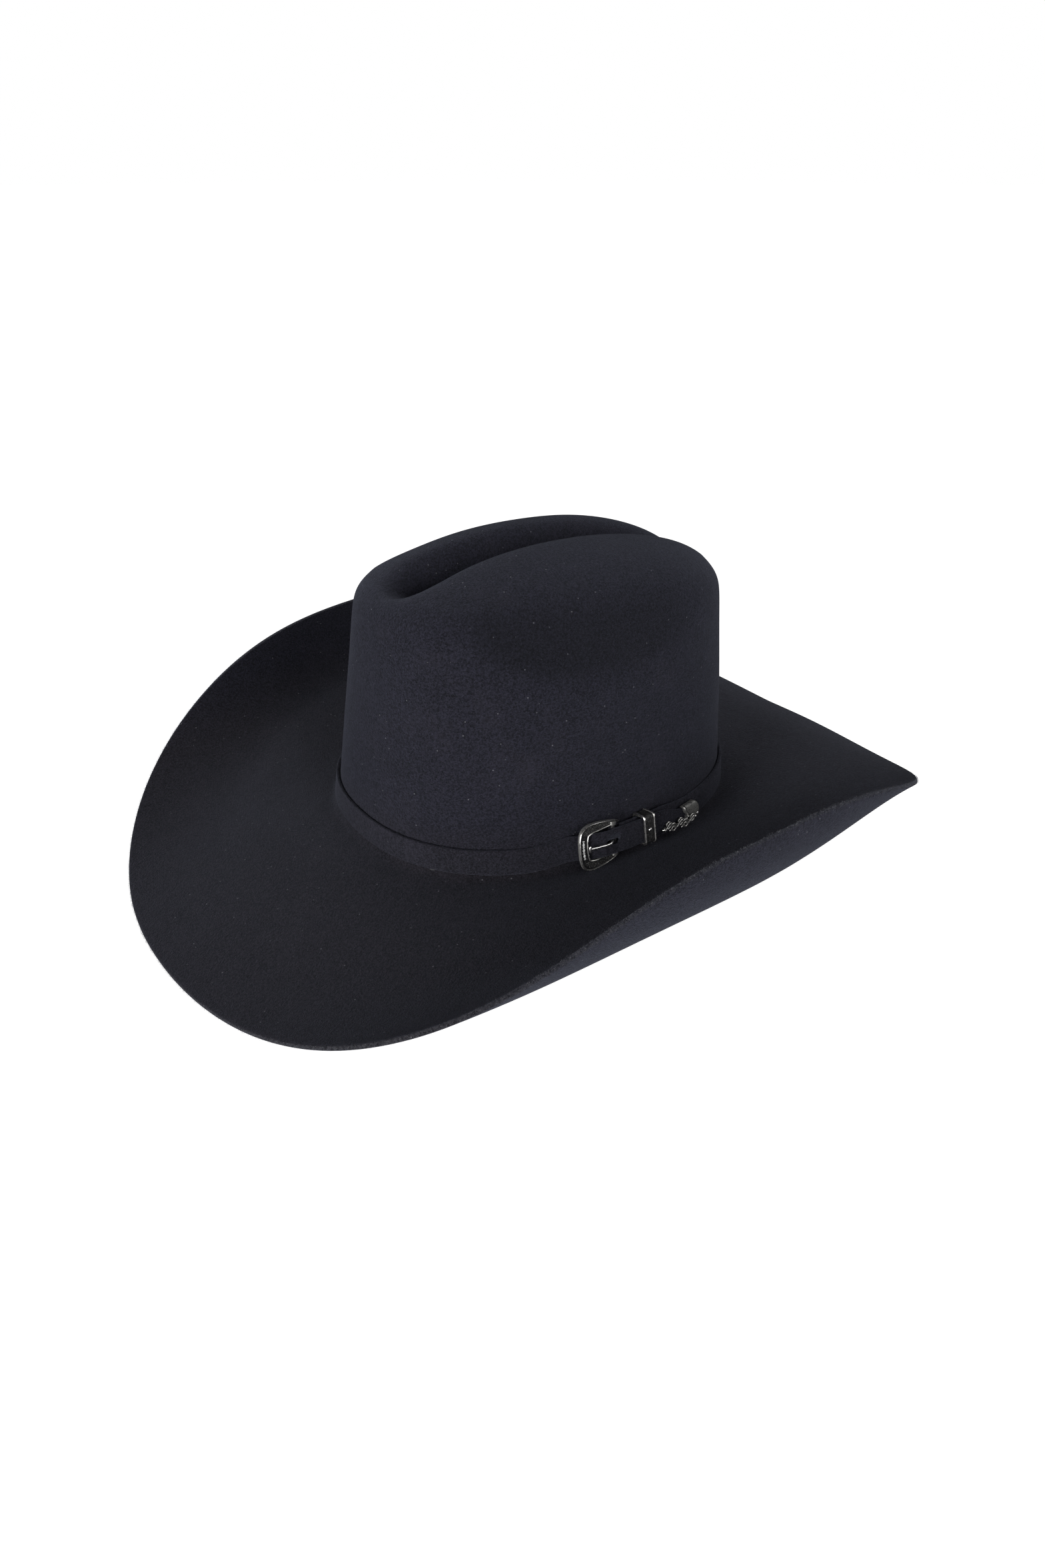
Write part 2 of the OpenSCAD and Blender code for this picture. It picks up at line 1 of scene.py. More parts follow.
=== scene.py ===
"""The looks of a western felt hat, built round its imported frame.

Shapes are worked out in millimetres, with the front at -Y, the wearer's left at +X and up at +Z, and every
mesh is written in metres. The crown, brim and band follow the same rules as the frame, with finer steps.
"""

import math

import bpy
import numpy as np
from mathutils import Matrix, Vector


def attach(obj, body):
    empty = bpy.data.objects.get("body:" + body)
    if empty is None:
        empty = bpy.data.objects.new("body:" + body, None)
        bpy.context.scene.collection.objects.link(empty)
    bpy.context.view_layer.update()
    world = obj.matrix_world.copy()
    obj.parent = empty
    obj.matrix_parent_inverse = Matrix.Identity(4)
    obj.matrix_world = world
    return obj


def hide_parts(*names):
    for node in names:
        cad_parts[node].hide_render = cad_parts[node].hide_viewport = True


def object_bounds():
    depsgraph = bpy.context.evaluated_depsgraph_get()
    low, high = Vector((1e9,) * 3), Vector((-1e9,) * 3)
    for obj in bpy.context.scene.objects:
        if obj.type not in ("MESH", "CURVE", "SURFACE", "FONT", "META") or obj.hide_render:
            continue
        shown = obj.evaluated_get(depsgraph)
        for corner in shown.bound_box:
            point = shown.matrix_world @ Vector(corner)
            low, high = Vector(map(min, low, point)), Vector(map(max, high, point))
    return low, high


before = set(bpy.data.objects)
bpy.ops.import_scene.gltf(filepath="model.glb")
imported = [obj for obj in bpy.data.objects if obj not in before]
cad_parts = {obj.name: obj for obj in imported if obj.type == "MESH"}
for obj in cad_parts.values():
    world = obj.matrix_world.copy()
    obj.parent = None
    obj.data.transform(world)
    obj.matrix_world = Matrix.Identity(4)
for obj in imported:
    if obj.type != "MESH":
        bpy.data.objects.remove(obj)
cad_low, cad_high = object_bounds()

MM = 0.001
SEED = 11

# ---- the hat's sizes, in millimetres and degrees ----

OVAL_L, OVAL_W, OVAL_N, OVAL_EGG = 105.5, 90.0, 2.3, 0.06
FELT, BRIM_BREAK = 2.6, 4.5
BRIM_SIDE, BRIM_FRONT, BRIM_BACK = 106.0, 112.0, 99.0
SIDE_SLOPE, SIDE_ROLL, ROLL_START = 12.0, 104.0, 0.5
FRONT_SLOPE, BACK_SLOPE = (-11.5, -5.5), (-3.5, -25.5)
FRONT_GRIP, BACK_GRIP = (4.7, 2.8), (1.3, 4.0)
BASE_DROP = (-1.0, 3.0)
CROWN_H, PEAK_Y, FRONT_FALL, BACK_FALL = 139.5, -15.5, 8.5, 23.5
TOP_L, TOP_W, TOP_Y, TOP_FALL = 101.5, 66.0, 11.0, 12.0
SHOULDER, SHOULDER_N = 19.5, 2.9
CREASE_D, CREASE_W = (24.0, 24.0, 3.0), (9.5, 10.0)
DENT_D, DENT_Y, DENT_Z, DENT_FALL, DENT_REACH, DENT_HALF = 10.0, -20.0, 107.0, 0.1, (44.0, 65.0), 16.0
BAND_H, BAND_T, BAND_Z, TIP_H, TIP_Z = 12.5, 1.8, 9.5, 8.6, 9.2
BUCKLE_Y, BUCKLE_Z = -17.0, 12.5
HUG, GAP, CHAPE_T, CHAPE_LEN, KEEPER_BACK = 0.3, 0.2, 1.2, 12.0, 0.5
SHEET, KEEPER_W, KEEPER_A, KEEPER_AIR = 0.9, 7.0, 18.0, 0.55
FERRULE_LEN, TIP_A = 13.0, 56.0
SWEAT_H, SWEAT_T, SWEAT_LOW, REED_R, SATIN = 46.0, 1.1, 3.0, 1.2, 0.5
LINING_LOW, LINING_Z = 24.0, 86.0
LEVEL_BAR = HUG + KEEPER_BACK + GAP + CHAPE_T + GAP + BAND_T / 2
LEVEL_CHAPE_OUT = LEVEL_BAR + BAND_T / 2 + GAP
LEVEL_BILLET = LEVEL_CHAPE_OUT + CHAPE_T + HUG + BAND_T / 2
LEVEL_BAND = HUG + BAND_T / 2
LEVEL_TIP = 4.8
LINING_IN = FELT + 0.5
SWEAT_IN = LINING_IN + SATIN + GAP


# ---- the rules of its shape ----


def signed_pow(v, e):
    return np.sign(v) * np.abs(v) ** e


def between(a, b, k):
    return a + (b - a) * k


def clamp(v):
    return np.clip(v, 0, 1)


def smooth(k):
    return k * k * (3 - 2 * k)


def sind(a):
    return np.sin(np.radians(a))


def cosd(a):
    return np.cos(np.radians(a))


def oval(t, length, width):
    """A point of an oval, at angle t from the wearer's left towards the front."""
    return width * signed_pow(cosd(t), 2 / OVAL_N), -length * signed_pow(sind(t), 2 / OVAL_N)


def base_oval(t, depth=0):
    x, y = oval(t, OVAL_L - depth, OVAL_W - depth)
    return x * (1 + OVAL_EGG * y / OVAL_L), y


def base_normal(t):
    x, y = base_oval(t)
    gx = signed_pow(x / OVAL_W, OVAL_N - 1) / OVAL_W
    gy = signed_pow(y / OVAL_L, OVAL_N - 1) / OVAL_L
    size = np.hypot(gx, gy)
    return gx / size, gy / size


def base_z(t):
    ny = base_normal(t)[1]
    return -np.where(ny < 0, BASE_DROP[0], BASE_DROP[1]) * ny * ny


def ridge_z(y):
    e = y - PEAK_Y
    front = FRONT_FALL * (e / (PEAK_Y - TOP_Y + TOP_L)) ** 2
    back = BACK_FALL * (e / (TOP_L + TOP_Y - PEAK_Y)) ** 2
    return CROWN_H - np.where(e < 0, front, back)


def crease(x, y):
    s = clamp((y + TOP_L - TOP_Y) / (2 * TOP_L))
    width = between(CREASE_W[0], CREASE_W[1], clamp(2 * s))
    depth = CREASE_D[0] * (1 - s) ** 2 + 2 * CREASE_D[1] * s * (1 - s) + CREASE_D[2] * s * s
    return smooth(clamp((s - 0.02) / 0.16)) * depth * np.exp(-((x / width) ** 2))


def above_dent(y, z):
    """Height above the deepest line of the side dents, which falls a little towards the back."""
    return z - DENT_Z + DENT_FALL * y


def off_dent(y, z):
    """0 at the middle of a side dent and 1 at its edge. A dent stays open up to the ridge."""
    reach = np.where(y < DENT_Y, DENT_REACH[0], DENT_REACH[1])
    return ((y - DENT_Y) / reach) ** 2 + (np.maximum(0, -above_dent(y, z)) / DENT_HALF) ** 2


def dented(x, y, z):
    """Pushes the crown in where its two side dents are."""
    k = np.exp(-(off_dent(y, z) ** 2)) * (1 - np.exp(-((x / 38) ** 2)))
    return np.stack([x - np.sign(x) * DENT_D * k, y, z], -1)


def dent_painted_shade(p):
    """How much shade is painted into the felt's colour, darkening it along the lower part of each side dent.
    """
    x, y, z = p[..., 0], p[..., 1], p[..., 2]
    near = smooth(clamp((1.5 - off_dent(y, z)) / 0.9))
    low = 1 - smooth(clamp((above_dent(y, z) - 2) / 20))
    return near * low * clamp(np.abs(x) / 50)


def wall_top(t, depth=0):
    x, y = oval(t, TOP_L - depth, TOP_W - depth)
    y = y + TOP_Y
    return x, y, ridge_z(y) - SHOULDER - depth


def wall(t, k, depth=0):
    bx, by = base_oval(t, depth)
    tx, ty, tz = wall_top(t, depth)
    return dented(between(bx, tx, k), between(by, ty, k), between(base_z(t), tz, k))


def crown_top(t, a, depth=0):
    r = max(0.0, math.cos(math.radians(a))) ** (2 / SHOULDER_N)
    x, y = oval(t, TOP_L - depth, TOP_W - depth)
    x, y = x * r, y * r + TOP_Y
    drop = SHOULDER * (1 - max(0.0, 1 - r**SHOULDER_N) ** (1 / SHOULDER_N))
    return dented(x, y, ridge_z(y) - depth - drop - TOP_FALL * (x / TOP_W) ** 2 - crease(x, y))


def brim(t, u, down=0):
    """The brim's face at share u of its width, moved down through the felt."""
    nx, ny = base_normal(t)
    bx, by = base_oval(t)
    front = ny < 0
    width = between(BRIM_SIDE, np.where(front, BRIM_FRONT, BRIM_BACK), ny * ny)
    start = np.where(front, FRONT_SLOPE[0], BACK_SLOPE[0])
    end = np.where(front, FRONT_SLOPE[1], BACK_SLOPE[1])
    start = between(start, SIDE_SLOPE, np.abs(nx) ** np.where(front, FRONT_GRIP[0], BACK_GRIP[0]))
    end = between(end, SIDE_ROLL, np.abs(nx) ** np.where(front, FRONT_GRIP[1], BACK_GRIP[1]))
    slope = between(start, end, clamp((u - ROLL_START) / (1 - ROLL_START)))
    half = np.radians((slope - start) / 2)
    small = np.abs(half) < 1e-5
    chord = width * max(0.0, u - ROLL_START) * np.where(small, 1, np.sin(half) / np.where(small, 1, half))
    straight = width * min(u, ROLL_START)
    run = straight * cosd(start) + chord * cosd((start + slope) / 2) + down * sind(slope)
    rise = straight * sind(start) + chord * sind((start + slope) / 2) - down * cosd(slope)
    return np.stack([bx + nx * run, by + ny * run, base_z(t) + rise], -1)


def break_curve(t, q, depth=0):
    """The rounded break between the wall and the brim."""
    a = wall(t, (BRIM_BREAK + depth) / 100, depth)
    b = brim(t, (BRIM_BREAK + depth) / BRIM_SIDE, depth)
    cx, cy = base_oval(t, depth)
    c = np.stack([cx, cy, base_z(t) - depth], -1)
    return a * (1 - q) ** 2 + c * 2 * q * (1 - q) + b * q * q


def inside(t, z, depth):
    """A place inside the crown, at a height above its base and a depth in from its outer face."""
    return wall(t, z / (wall_top(t, depth)[2] - base_z(t)), depth)


def wall_at(t, z):
    return wall(t, z / (wall_top(t)[2] - base_z(t)))


def wall_axes(t):
    """Directions along the band to the back, up the wall, and out from it."""
    t = np.asarray(t, float)
    d = wall_at(t - 0.5, BAND_Z) - wall_at(t + 0.5, BAND_Z)
    turn = np.arctan2(-d[..., 0], d[..., 1])
    d = wall_at(t, BAND_Z + 4) - wall_at(t, BAND_Z - 4)
    lean = -np.arctan2(d[..., 0] * np.cos(turn) + d[..., 1] * np.sin(turn), d[..., 2])
    along = np.stack([-np.sin(turn), np.cos(turn), 0 * turn], -1)
    up = np.stack([-np.sin(lean) * np.cos(turn), -np.sin(lean) * np.sin(turn), np.cos(lean)], -1)
    out = np.stack([np.cos(lean) * np.cos(turn), np.cos(lean) * np.sin(turn), np.sin(lean)], -1)
    return along, up, out


def on_band(t, z, out):
    return wall_at(t, z) + np.asarray(out)[..., None] * wall_axes(t)[2]


def t_at(y):
    return -math.copysign(1, y) * math.degrees(math.asin((abs(y) / OVAL_L) ** (OVAL_N / 2)))


BAR_T = t_at(BUCKLE_Y)
BAR_ALONG = wall_axes(BAR_T)[0]


def t_behind(a):
    """The angle on the oval of a place at a distance a behind the buckle's bar."""
    return t_at(BUCKLE_Y + a * BAR_ALONG[1])


class Seat:
    """A place on the crown's wall: local X runs along the band to the back, Y up the wall and Z out."""

    def __init__(self, t, z, out=0.0, tilt=0.0, turn=0.0):
        along, up, outward = wall_axes(t)
        self.origin = wall_at(t, z) + outward * out
        c, s = math.cos(math.radians(turn)), math.sin(math.radians(turn))
        along, up = along * c + up * s, up * c - along * s
        c, s = math.cos(math.radians(tilt)), math.sin(math.radians(tilt))
        along, outward = along * c - outward * s, outward * c + along * s
        self.axes = np.stack([along, up, outward])

    def put(self, local):
        return self.origin + np.asarray(local, float) @ self.axes

    def turned(self, local):
        return np.asarray(local, float) @ self.axes


# ---- making meshes ----


class Skin:
    """Gathers the closed shells of one piece. Each corner keeps its place on the surface, in mm, as a UV."""

    def __init__(self):
        self.points, self.marks, self.faces, self.places = [], [], [], []
        self.count = 0

    def shell(self, rings, wrap=False, ends=None, mark=0.0):
        """A closed shell through rings of points. wrap joins the last ring to the first."""
        rings = np.asarray(rings, float)
        rows, cols = rings.shape[:2]
        ids = self.count + np.arange(rows * cols).reshape(rows, cols)
        u = np.concatenate([[0], np.cumsum(np.linalg.norm(np.roll(rings, -1, 1) - rings, axis=2).mean(0))])
        v = np.concatenate([[0], np.cumsum(np.linalg.norm(np.roll(rings, -1, 0) - rings, axis=2).mean(1))])
        points = [rings.reshape(-1, 3)]
        marks = [np.broadcast_to(np.asarray(mark, float), (rows, cols)).reshape(-1)]
        faces, places = [], []
        for i in range(rows if wrap else rows - 1):
            a, b = ids[i], ids[(i + 1) % rows]
            for j in range(cols):
                k = (j + 1) % cols
                faces.append((a[j], a[k], b[k], b[j]))
                places.append(((u[j], v[i]), (u[j + 1], v[i]), (u[j + 1], v[i + 1]), (u[j], v[i + 1])))
        if not wrap:
            first, last = ends if ends is not None else (rings[0].mean(0), rings[-1].mean(0))
            tip = self.count + rows * cols
            points.append(np.array([first, last], float))
            marks.append(np.array([marks[0][0], marks[0][-1]]))
            for j in range(cols):
                k = (j + 1) % cols
                middle = (u[j] + u[j + 1]) / 2
                faces.append((tip, ids[0][k], ids[0][j]))
                places.append(((middle, v[0] - 1), (u[j + 1], v[0]), (u[j], v[0])))
                faces.append((tip + 1, ids[-1][j], ids[-1][k]))
                places.append(((middle, v[rows - 1] + 1), (u[j], v[rows - 1]), (u[j + 1], v[rows - 1])))
        points = np.concatenate(points)
        thirds = [f[:3] for f in faces] + [(f[0], *f[2:]) for f in faces if len(f) == 4]
        a, b, c = points[(np.array(thirds) - self.count).T]
        if np.sum(a * np.cross(b, c)) < 0:
            faces = [f[::-1] for f in faces]
            places = [p[::-1] for p in places]
        self.points.append(points)
        self.marks.append(np.concatenate(marks))
        self.faces += faces
        self.places += places
        self.count += len(points)
        return self

    def mesh(self, name, sharp=40):
        mesh = bpy.data.meshes.new(name)
        points = np.concatenate(self.points) * MM
        mesh.from_pydata(points.tolist(), [], [tuple(int(i) for i in f) for f in self.faces])
        layer = mesh.uv_layers.new(name="cloth")
        layer.data.foreach_set("uv", (np.array([c for p in self.places for c in p]) * MM).ravel())
        tone_and_painted_shade = mesh.attributes.new("tone_and_painted_shade", "FLOAT", "POINT")
        tone_and_painted_shade.data.foreach_set("value", np.concatenate(self.marks).astype(np.float32))
        mesh.polygons.foreach_set("use_smooth", [True] * len(mesh.polygons))
        if sharp < 180:
            mesh.set_sharp_from_angle(angle=math.radians(sharp))
        mesh.update()
        return mesh

    def piece(self, name, material, body, slot, *nodes, sharp=40):
        return settle(add(name, self.mesh(name, sharp)), material, body, slot, *nodes)


def settle(piece, material, body, slot, *nodes):
    """Gives a finished piece its material and body, and hides the frame's pieces that it stands for. The
    slot is not used.
    """
    if material is not None:
        piece.data.materials.clear()
        piece.data.materials.append(material)
    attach(piece, body)
    if nodes:
        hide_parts(*nodes)
    return piece


def add(name, mesh):
    piece = bpy.data.objects.new(name, mesh)
    bpy.context.scene.collection.objects.link(piece)
    return piece


def plain(piece):
    """Turns a piece and its modifiers into a plain mesh."""
    depsgraph = bpy.context.evaluated_depsgraph_get()
    mesh = bpy.data.meshes.new_from_object(piece.evaluated_get(depsgraph))
    piece.modifiers.clear()
    piece.data = mesh
    return piece


def rounded_box(half_w, half_h, r, steps=4):
    """Points of a rectangle with round corners, anticlockwise."""
    out = []
    for k, (sx, sy) in enumerate([(1, 1), (-1, 1), (-1, -1), (1, -1)]):
        for a in np.linspace(0, 90, steps + 1):
            a = a + 90 * k
            out.append((sx * (half_w - r) + r * cosd(a), sy * (half_h - r) + r * sind(a)))
    return np.array(out)


def curve_through(points, count):
    """A smooth curve through a few points."""
    p = np.asarray(points, float)
    spans = len(p) - 1
    p = np.concatenate([2 * p[:1] - p[1:2], p, 2 * p[-1:] - p[-2:-1]])
    s = np.linspace(0, spans, count)
    i = np.minimum(s.astype(int), spans - 1)
    f = (s - i)[:, None]
    a, b, c, d = p[i], p[i + 1], p[i + 2], p[i + 3]
    return 0.5 * (2 * b + (c - a) * f + (2 * a - 5 * b + 4 * c - d) * f**2 + (3 * b - a - 3 * c + d) * f**3)


def headings(line):
    """Unit directions along a line of points."""
    step = np.gradient(np.asarray(line, float), axis=0)
    return step / np.linalg.norm(step, axis=1)[:, None]


def swept(line, width, height, sides=12):
    """Rings of an oval wire along a line. Width lies across the line, and height upwards."""
    line = np.asarray(line, float)
    width, height = (np.broadcast_to(size, len(line))[:, None] for size in (width, height))
    ahead = headings(line)
    across = np.cross((0, 0, 1), ahead)
    across /= np.linalg.norm(across, axis=1)[:, None]
    up = np.cross(ahead, across)
    a = np.arange(sides) * 360 / sides
    sideways, upwards = (width * cosd(a))[..., None], (height * sind(a))[..., None]
    return line[:, None] + across[:, None] * sideways + up[:, None] * upwards


# ---- materials ----


class Wire:
    """A socket on which Python's operators add Math nodes."""

    def __init__(self, recipe, socket):
        self.recipe, self.socket = recipe, socket

    def _math(self, operation, *values, clamped=False):
        settings = {"operation": operation, "use_clamp": clamped}
        return self.recipe.node("ShaderNodeMath", settings, dict(enumerate(values)))

    def __add__(self, other):
        return self._math("ADD", self, other)

    def __sub__(self, other):
        return self._math("SUBTRACT", self, other)

    def __rsub__(self, other):
        return self._math("SUBTRACT", other, self)

    def __mul__(self, other):
        return self._math("MULTIPLY", self, other)

    __radd__, __rmul__ = __add__, __mul__

    def over(self, low, high):
        """Goes from 0 to 1 as the value goes from low to high."""
        return self._math("MULTIPLY_ADD", self, 1 / (high - low), -low / (high - low), clamped=True)

    def wave(self, pitch):
        """A soft ridge, 0 to 1, once every pitch."""
        return self._math("SINE", self * (2 * math.pi / pitch)) * 0.5 + 0.5


class Recipe:
    """One material's node tree, built from a Principled shader."""

    def __init__(self, name):
        self.material = bpy.data.materials.new(name)
        self.material.use_nodes = True
        self.tree = self.material.node_tree
        self.shader = next(n for n in self.tree.nodes if n.type == "BSDF_PRINCIPLED")

    def node(self, kind, settings=None, values=None, out=0):
        """Any node: its settings first, then the values or links of its sockets."""
        made = self.tree.nodes.new(kind)
        for key, value in (settings or {}).items():
            setattr(made, key, value)
        for key, value in (values or {}).items():
            self.feed(made.inputs[key], value)
        return Wire(self, made.outputs[out])

    def feed(self, socket, value):
        if isinstance(value, Wire):
            self.tree.links.new(value.socket, socket)
        elif socket.type == "RGBA" and len(value) == 3:
            socket.default_value = (*value, 1)
        else:
            socket.default_value = value

    def here(self):
        return self.node("ShaderNodeTexCoord", out=3)

    def cloth(self):
        return self.node("ShaderNodeUVMap", {"uv_map": "cloth"})

    # A per-point tone mark: patina and wear on metal and leather, a paler cut edge on the felt, and painted
    # shade in the felt's side dents.
    def tone_and_painted_shade(self):
        return self.node("ShaderNodeAttribute", {"attribute_name": "tone_and_painted_shade"}, out=2)

    def parts(self, vector):
        split = self.node("ShaderNodeSeparateXYZ", None, {0: vector})
        return [Wire(self, s) for s in split.socket.node.outputs]

    def scaled(self, vector, scale, turn=(0, 0, 0)):
        return self.node("ShaderNodeMapping", None, {0: vector, 2: turn, 3: scale})

    def noise(self, vector, scale, detail=3, roughness=0.55):
        values = {"Vector": vector, "Scale": scale, "Detail": detail, "Roughness": roughness}
        return self.node("ShaderNodeTexNoise", None, values)

    def cells(self, vector, scale, out=0, feature="F1"):
        values = {"Vector": vector, "Scale": scale}
        return self.node("ShaderNodeTexVoronoi", {"feature": feature}, values, out)

    def blend(self, factor, a, b):
        """A colour between a and b."""
        return self.node("ShaderNodeMix", {"data_type": "RGBA"}, {0: factor, 6: a, 7: b}, 2)

    def bump(self, height, distance, strength):
        values = {"Height": height, "Distance": distance, "Strength": strength}
        return self.node("ShaderNodeBump", None, values)

    def done(self, **values):
        """Feeds the shader's sockets, named with underscores for spaces."""
        for key, value in values.items():
            self.feed(self.shader.inputs[key.replace("_", " ")], value)
        return self.material


def felt_finish(name, cool, warm, warm_low, warm_high):
    """Dense fur felt: fine crossed fibres, a soft nap, faint clouding and a few pale flecks of lint."""
    r = Recipe(name)
    here = r.here()
    nap = r.noise(here, 1400, 2, 0.65)
    coarse = r.noise(here, 900, 2, 0.7)
    cloud = r.noise(here, 130, 4, 0.65)
    drift = r.noise(here, 19, 2, 0.5)
    dust = r.noise(here, 26, 5, 0.7).over(0.54, 0.72)
    lay_a = r.noise(r.scaled(here, (900, 3200, 3200), (0.4, 0.7, 0.5)), 1.0, 1, 0.5)
    lay_b = r.noise(r.scaled(here, (3200, 900, 3000), (0.9, 0.3, 1.2)), 1.0, 1, 0.5)
    fibre = lay_a.over(0.52, 0.70) + lay_b.over(0.52, 0.70)
    tone = nap.over(0.44, 0.56) * 0.34 + coarse.over(0.42, 0.58) * 0.48 + cloud.over(0.35, 0.65) * 0.1
    tone = tone + drift.over(0.35, 0.65) * 0.06 + fibre * 0.1
    rise = r.parts(here)[2].over(warm_low, warm_high)
    low = r.blend(rise, [c * 0.1 for c in warm], [c * 0.1 for c in cool])
    high = r.blend(rise, [c * 1.8 for c in warm], [c * 1.76 for c in cool])
    colour = r.blend(tone, low, high)
    colour = r.blend(dust * 0.16, colour, [c * 3.2 for c in warm])
    # Painted shade: positive marks darken the felt towards black along the lower part of each side dent.
    colour = r.blend(r.tone_and_painted_shade().over(0, 1) * 0.42, colour, (0.0, 0.0, 0.0))
    colour = r.blend(r.tone_and_painted_shade().over(0, -1) * coarse.over(0.35, 0.6) * 0.55, colour, (0.05, 0.05, 0.056))
    chance = r.parts(r.cells(here, 380, 1))[0]
    speck = r.cells(here, 380).over(0.16, 0.08) * chance.over(0.90, 0.92)
    colour = r.blend(speck * 0.55, colour, (0.2, 0.2, 0.22))
    relief = nap * 0.55 + coarse * 0.5 + fibre * 0.14 + cloud * 0.6
    return r.done(
        Base_Color=colour,
        Roughness=0.88 - tone * 0.1,
        Normal=r.bump(relief, 0.0007, 0.9),
        Sheen_Weight=0.12,
        Sheen_Roughness=0.55,
        Sheen_Tint=(0.72, 0.78, 1.0),
        Specular_IOR_Level=0.12,
    )


def silver_finish(name, bright=(0.74, 0.73, 0.70), grain=0.0):
    """Cast white metal, plated and antiqued: bright where it is rubbed, nearly black in its recesses."""
    r = Recipe(name)
    here = r.here()
    patchy = r.noise(here, 900, 3, 0.6)
    pits = r.noise(here, 3600, 2, 0.6)
    rubs = r.noise(r.scaled(here, (5200, 700, 700), (0.2, 0.5, 0.3)), 1.0, 2, 0.5)
    dark = (r.tone_and_painted_shade() + patchy.over(0.45, 0.75) * 0.22 + pits.over(0.55, 0.8) * 0.12).over(0.12, 0.95)
    colour = r.blend(dark, bright, (0.022, 0.022, 0.024))
    colour = r.blend(rubs.over(0.58, 0.75) * 0.16, colour, (0.9, 0.9, 0.88))
    relief = pits * 0.35 + patchy * 0.5 + rubs * 0.25
    if grain:
        relief = relief + r.parts(r.cloth())[0].wave(grain) * 0.8
    return r.done(
        Base_Color=colour,
        Metallic=1.0 - dark * 0.35,
        Roughness=0.2 + dark * 0.42 + patchy * 0.14,
        Normal=r.bump(relief, 0.00006, 0.6),
    )


def leather_finish(name, light, deep):
    """Thin sheepskin: pores, faint creases and darker handling along its edge."""
    r = Recipe(name)
    here = r.here()
    pores = r.cells(here, 1100, feature="SMOOTH_F1")
    folds = r.cells(here, 260, feature="DISTANCE_TO_EDGE")
    stain = r.noise(here, 38, 4, 0.6)
    fine = r.noise(here, 900, 3, 0.6)
    tone = stain.over(0.3, 0.7) * 0.6 + fine.over(0.3, 0.7) * 0.25 + pores.over(0.0, 0.5) * 0.15
    colour = r.blend(tone, deep, light)
    colour = r.blend(r.tone_and_painted_shade() * 0.7, colour, [c * 0.45 for c in deep])
    relief = folds.over(0.0, 0.06) * 0.35 + pores * 0.5 + fine * 0.3
    return r.done(
        Base_Color=colour,
        Roughness=0.42 + tone * 0.16,
        Normal=r.bump(relief, 0.00025, 0.7),
        Specular_IOR_Level=0.45,
    )


def satin_finish(name, light, deep, warp=0.00042, weft=0.0007):
    """Satin weave: fine warp lines, a slower sheen across them and soft rumples."""
    r = Recipe(name)
    here = r.here()
    across, along, _ = r.parts(r.cloth())
    threads = across.wave(warp)
    picks = along.wave(weft)
    rumple = r.noise(here, 60, 3, 0.5)
    slub = r.noise(r.scaled(r.cloth(), (2200, 130, 1)), 1.0, 2, 0.5)
    tone = rumple.over(0.3, 0.7) * 0.45 + slub.over(0.35, 0.7) * 0.3 + threads * picks * 0.25
    return r.done(
        Base_Color=r.blend(tone, deep, light),
        Roughness=0.34 + tone * 0.12,
        Normal=r.bump(threads * 0.5 + picks * 0.3 + rumple * 3.0, 0.00022, 0.55),
        Sheen_Weight=0.35,
        Sheen_Roughness=0.3,
        Anisotropic=0.5,
        Specular_IOR_Level=0.6,
    )


def ribbon_finish(name, light, deep, pitch):
    """Ribbed ribbon or twisted cord: a rib once every pitch along its surface."""
    r = Recipe(name)
    ribs = r.parts(r.cloth())[1].wave(pitch)
    lint = r.noise(r.here(), 2400, 2, 0.6)
    tone = ribs * 0.6 + lint.over(0.35, 0.7) * 0.4
    return r.done(
        Base_Color=r.blend(tone, deep, light),
        Roughness=0.68 + lint * 0.16,
        Normal=r.bump(ribs + lint * 0.35, 0.00012, 0.8),
        Sheen_Weight=0.25,
        Sheen_Roughness=0.5,
    )


def thread_finish(name, light, deep):
    """Twisted sewing thread, seen too small for its plies: a fine slanting mottle."""
    r = Recipe(name)
    here = r.here()
    plies = r.noise(r.scaled(here, (5200, 5200, 1800), (0.6, 0.4, 0.8)), 1.0, 1, 0.5)
    return r.done(
        Base_Color=r.blend(plies.over(0.35, 0.65), deep, light),
        Roughness=0.6 + plies * 0.2,
        Normal=r.bump(plies, 0.00008, 0.8),
        Sheen_Weight=0.3,
    )


def paper_finish(name):
    """A blank woven label."""
    r = Recipe(name)
    across, along, _ = r.parts(r.cloth())
    weave = across.wave(0.00055) * 0.5 + along.wave(0.00055) * 0.5
    mottle = r.noise(r.here(), 480, 3, 0.6)
    tone = mottle.over(0.3, 0.7) * 0.6 + weave * 0.4
    return r.done(
        Base_Color=r.blend(tone, (0.60, 0.58, 0.52), (0.80, 0.79, 0.75)),
        Roughness=0.78 + mottle * 0.1,
        Normal=r.bump(weave + mottle, 0.00006, 0.6),
    )


CROWN_COOL, BRIM_WARM = (0.0116, 0.0112, 0.0180), (0.0114, 0.0100, 0.0134)
felt = felt_finish("fur_felt", CROWN_COOL, BRIM_WARM, 0.004, 0.03)
strap_felt = felt_finish("band_felt", (0.0136, 0.0126, 0.0180), (0.0132, 0.0122, 0.0172), 0.0, 0.02)
silver = silver_finish("antiqued_silver")
dull_silver = silver_finish("dull_silver", (0.40, 0.40, 0.39))
oxidised_silver = silver_finish("oxidised_silver", (0.20, 0.20, 0.19))
grained_silver = silver_finish("grained_silver", (0.60, 0.59, 0.57), 0.00055)
bright_silver = silver_finish("polished_silver", (0.86, 0.85, 0.83))
leather = leather_finish("sweatband_leather", (0.27, 0.145, 0.075), (0.16, 0.075, 0.035))
tape_leather = leather_finish("seam_tape_leather", (0.23, 0.12, 0.06), (0.13, 0.062, 0.03))
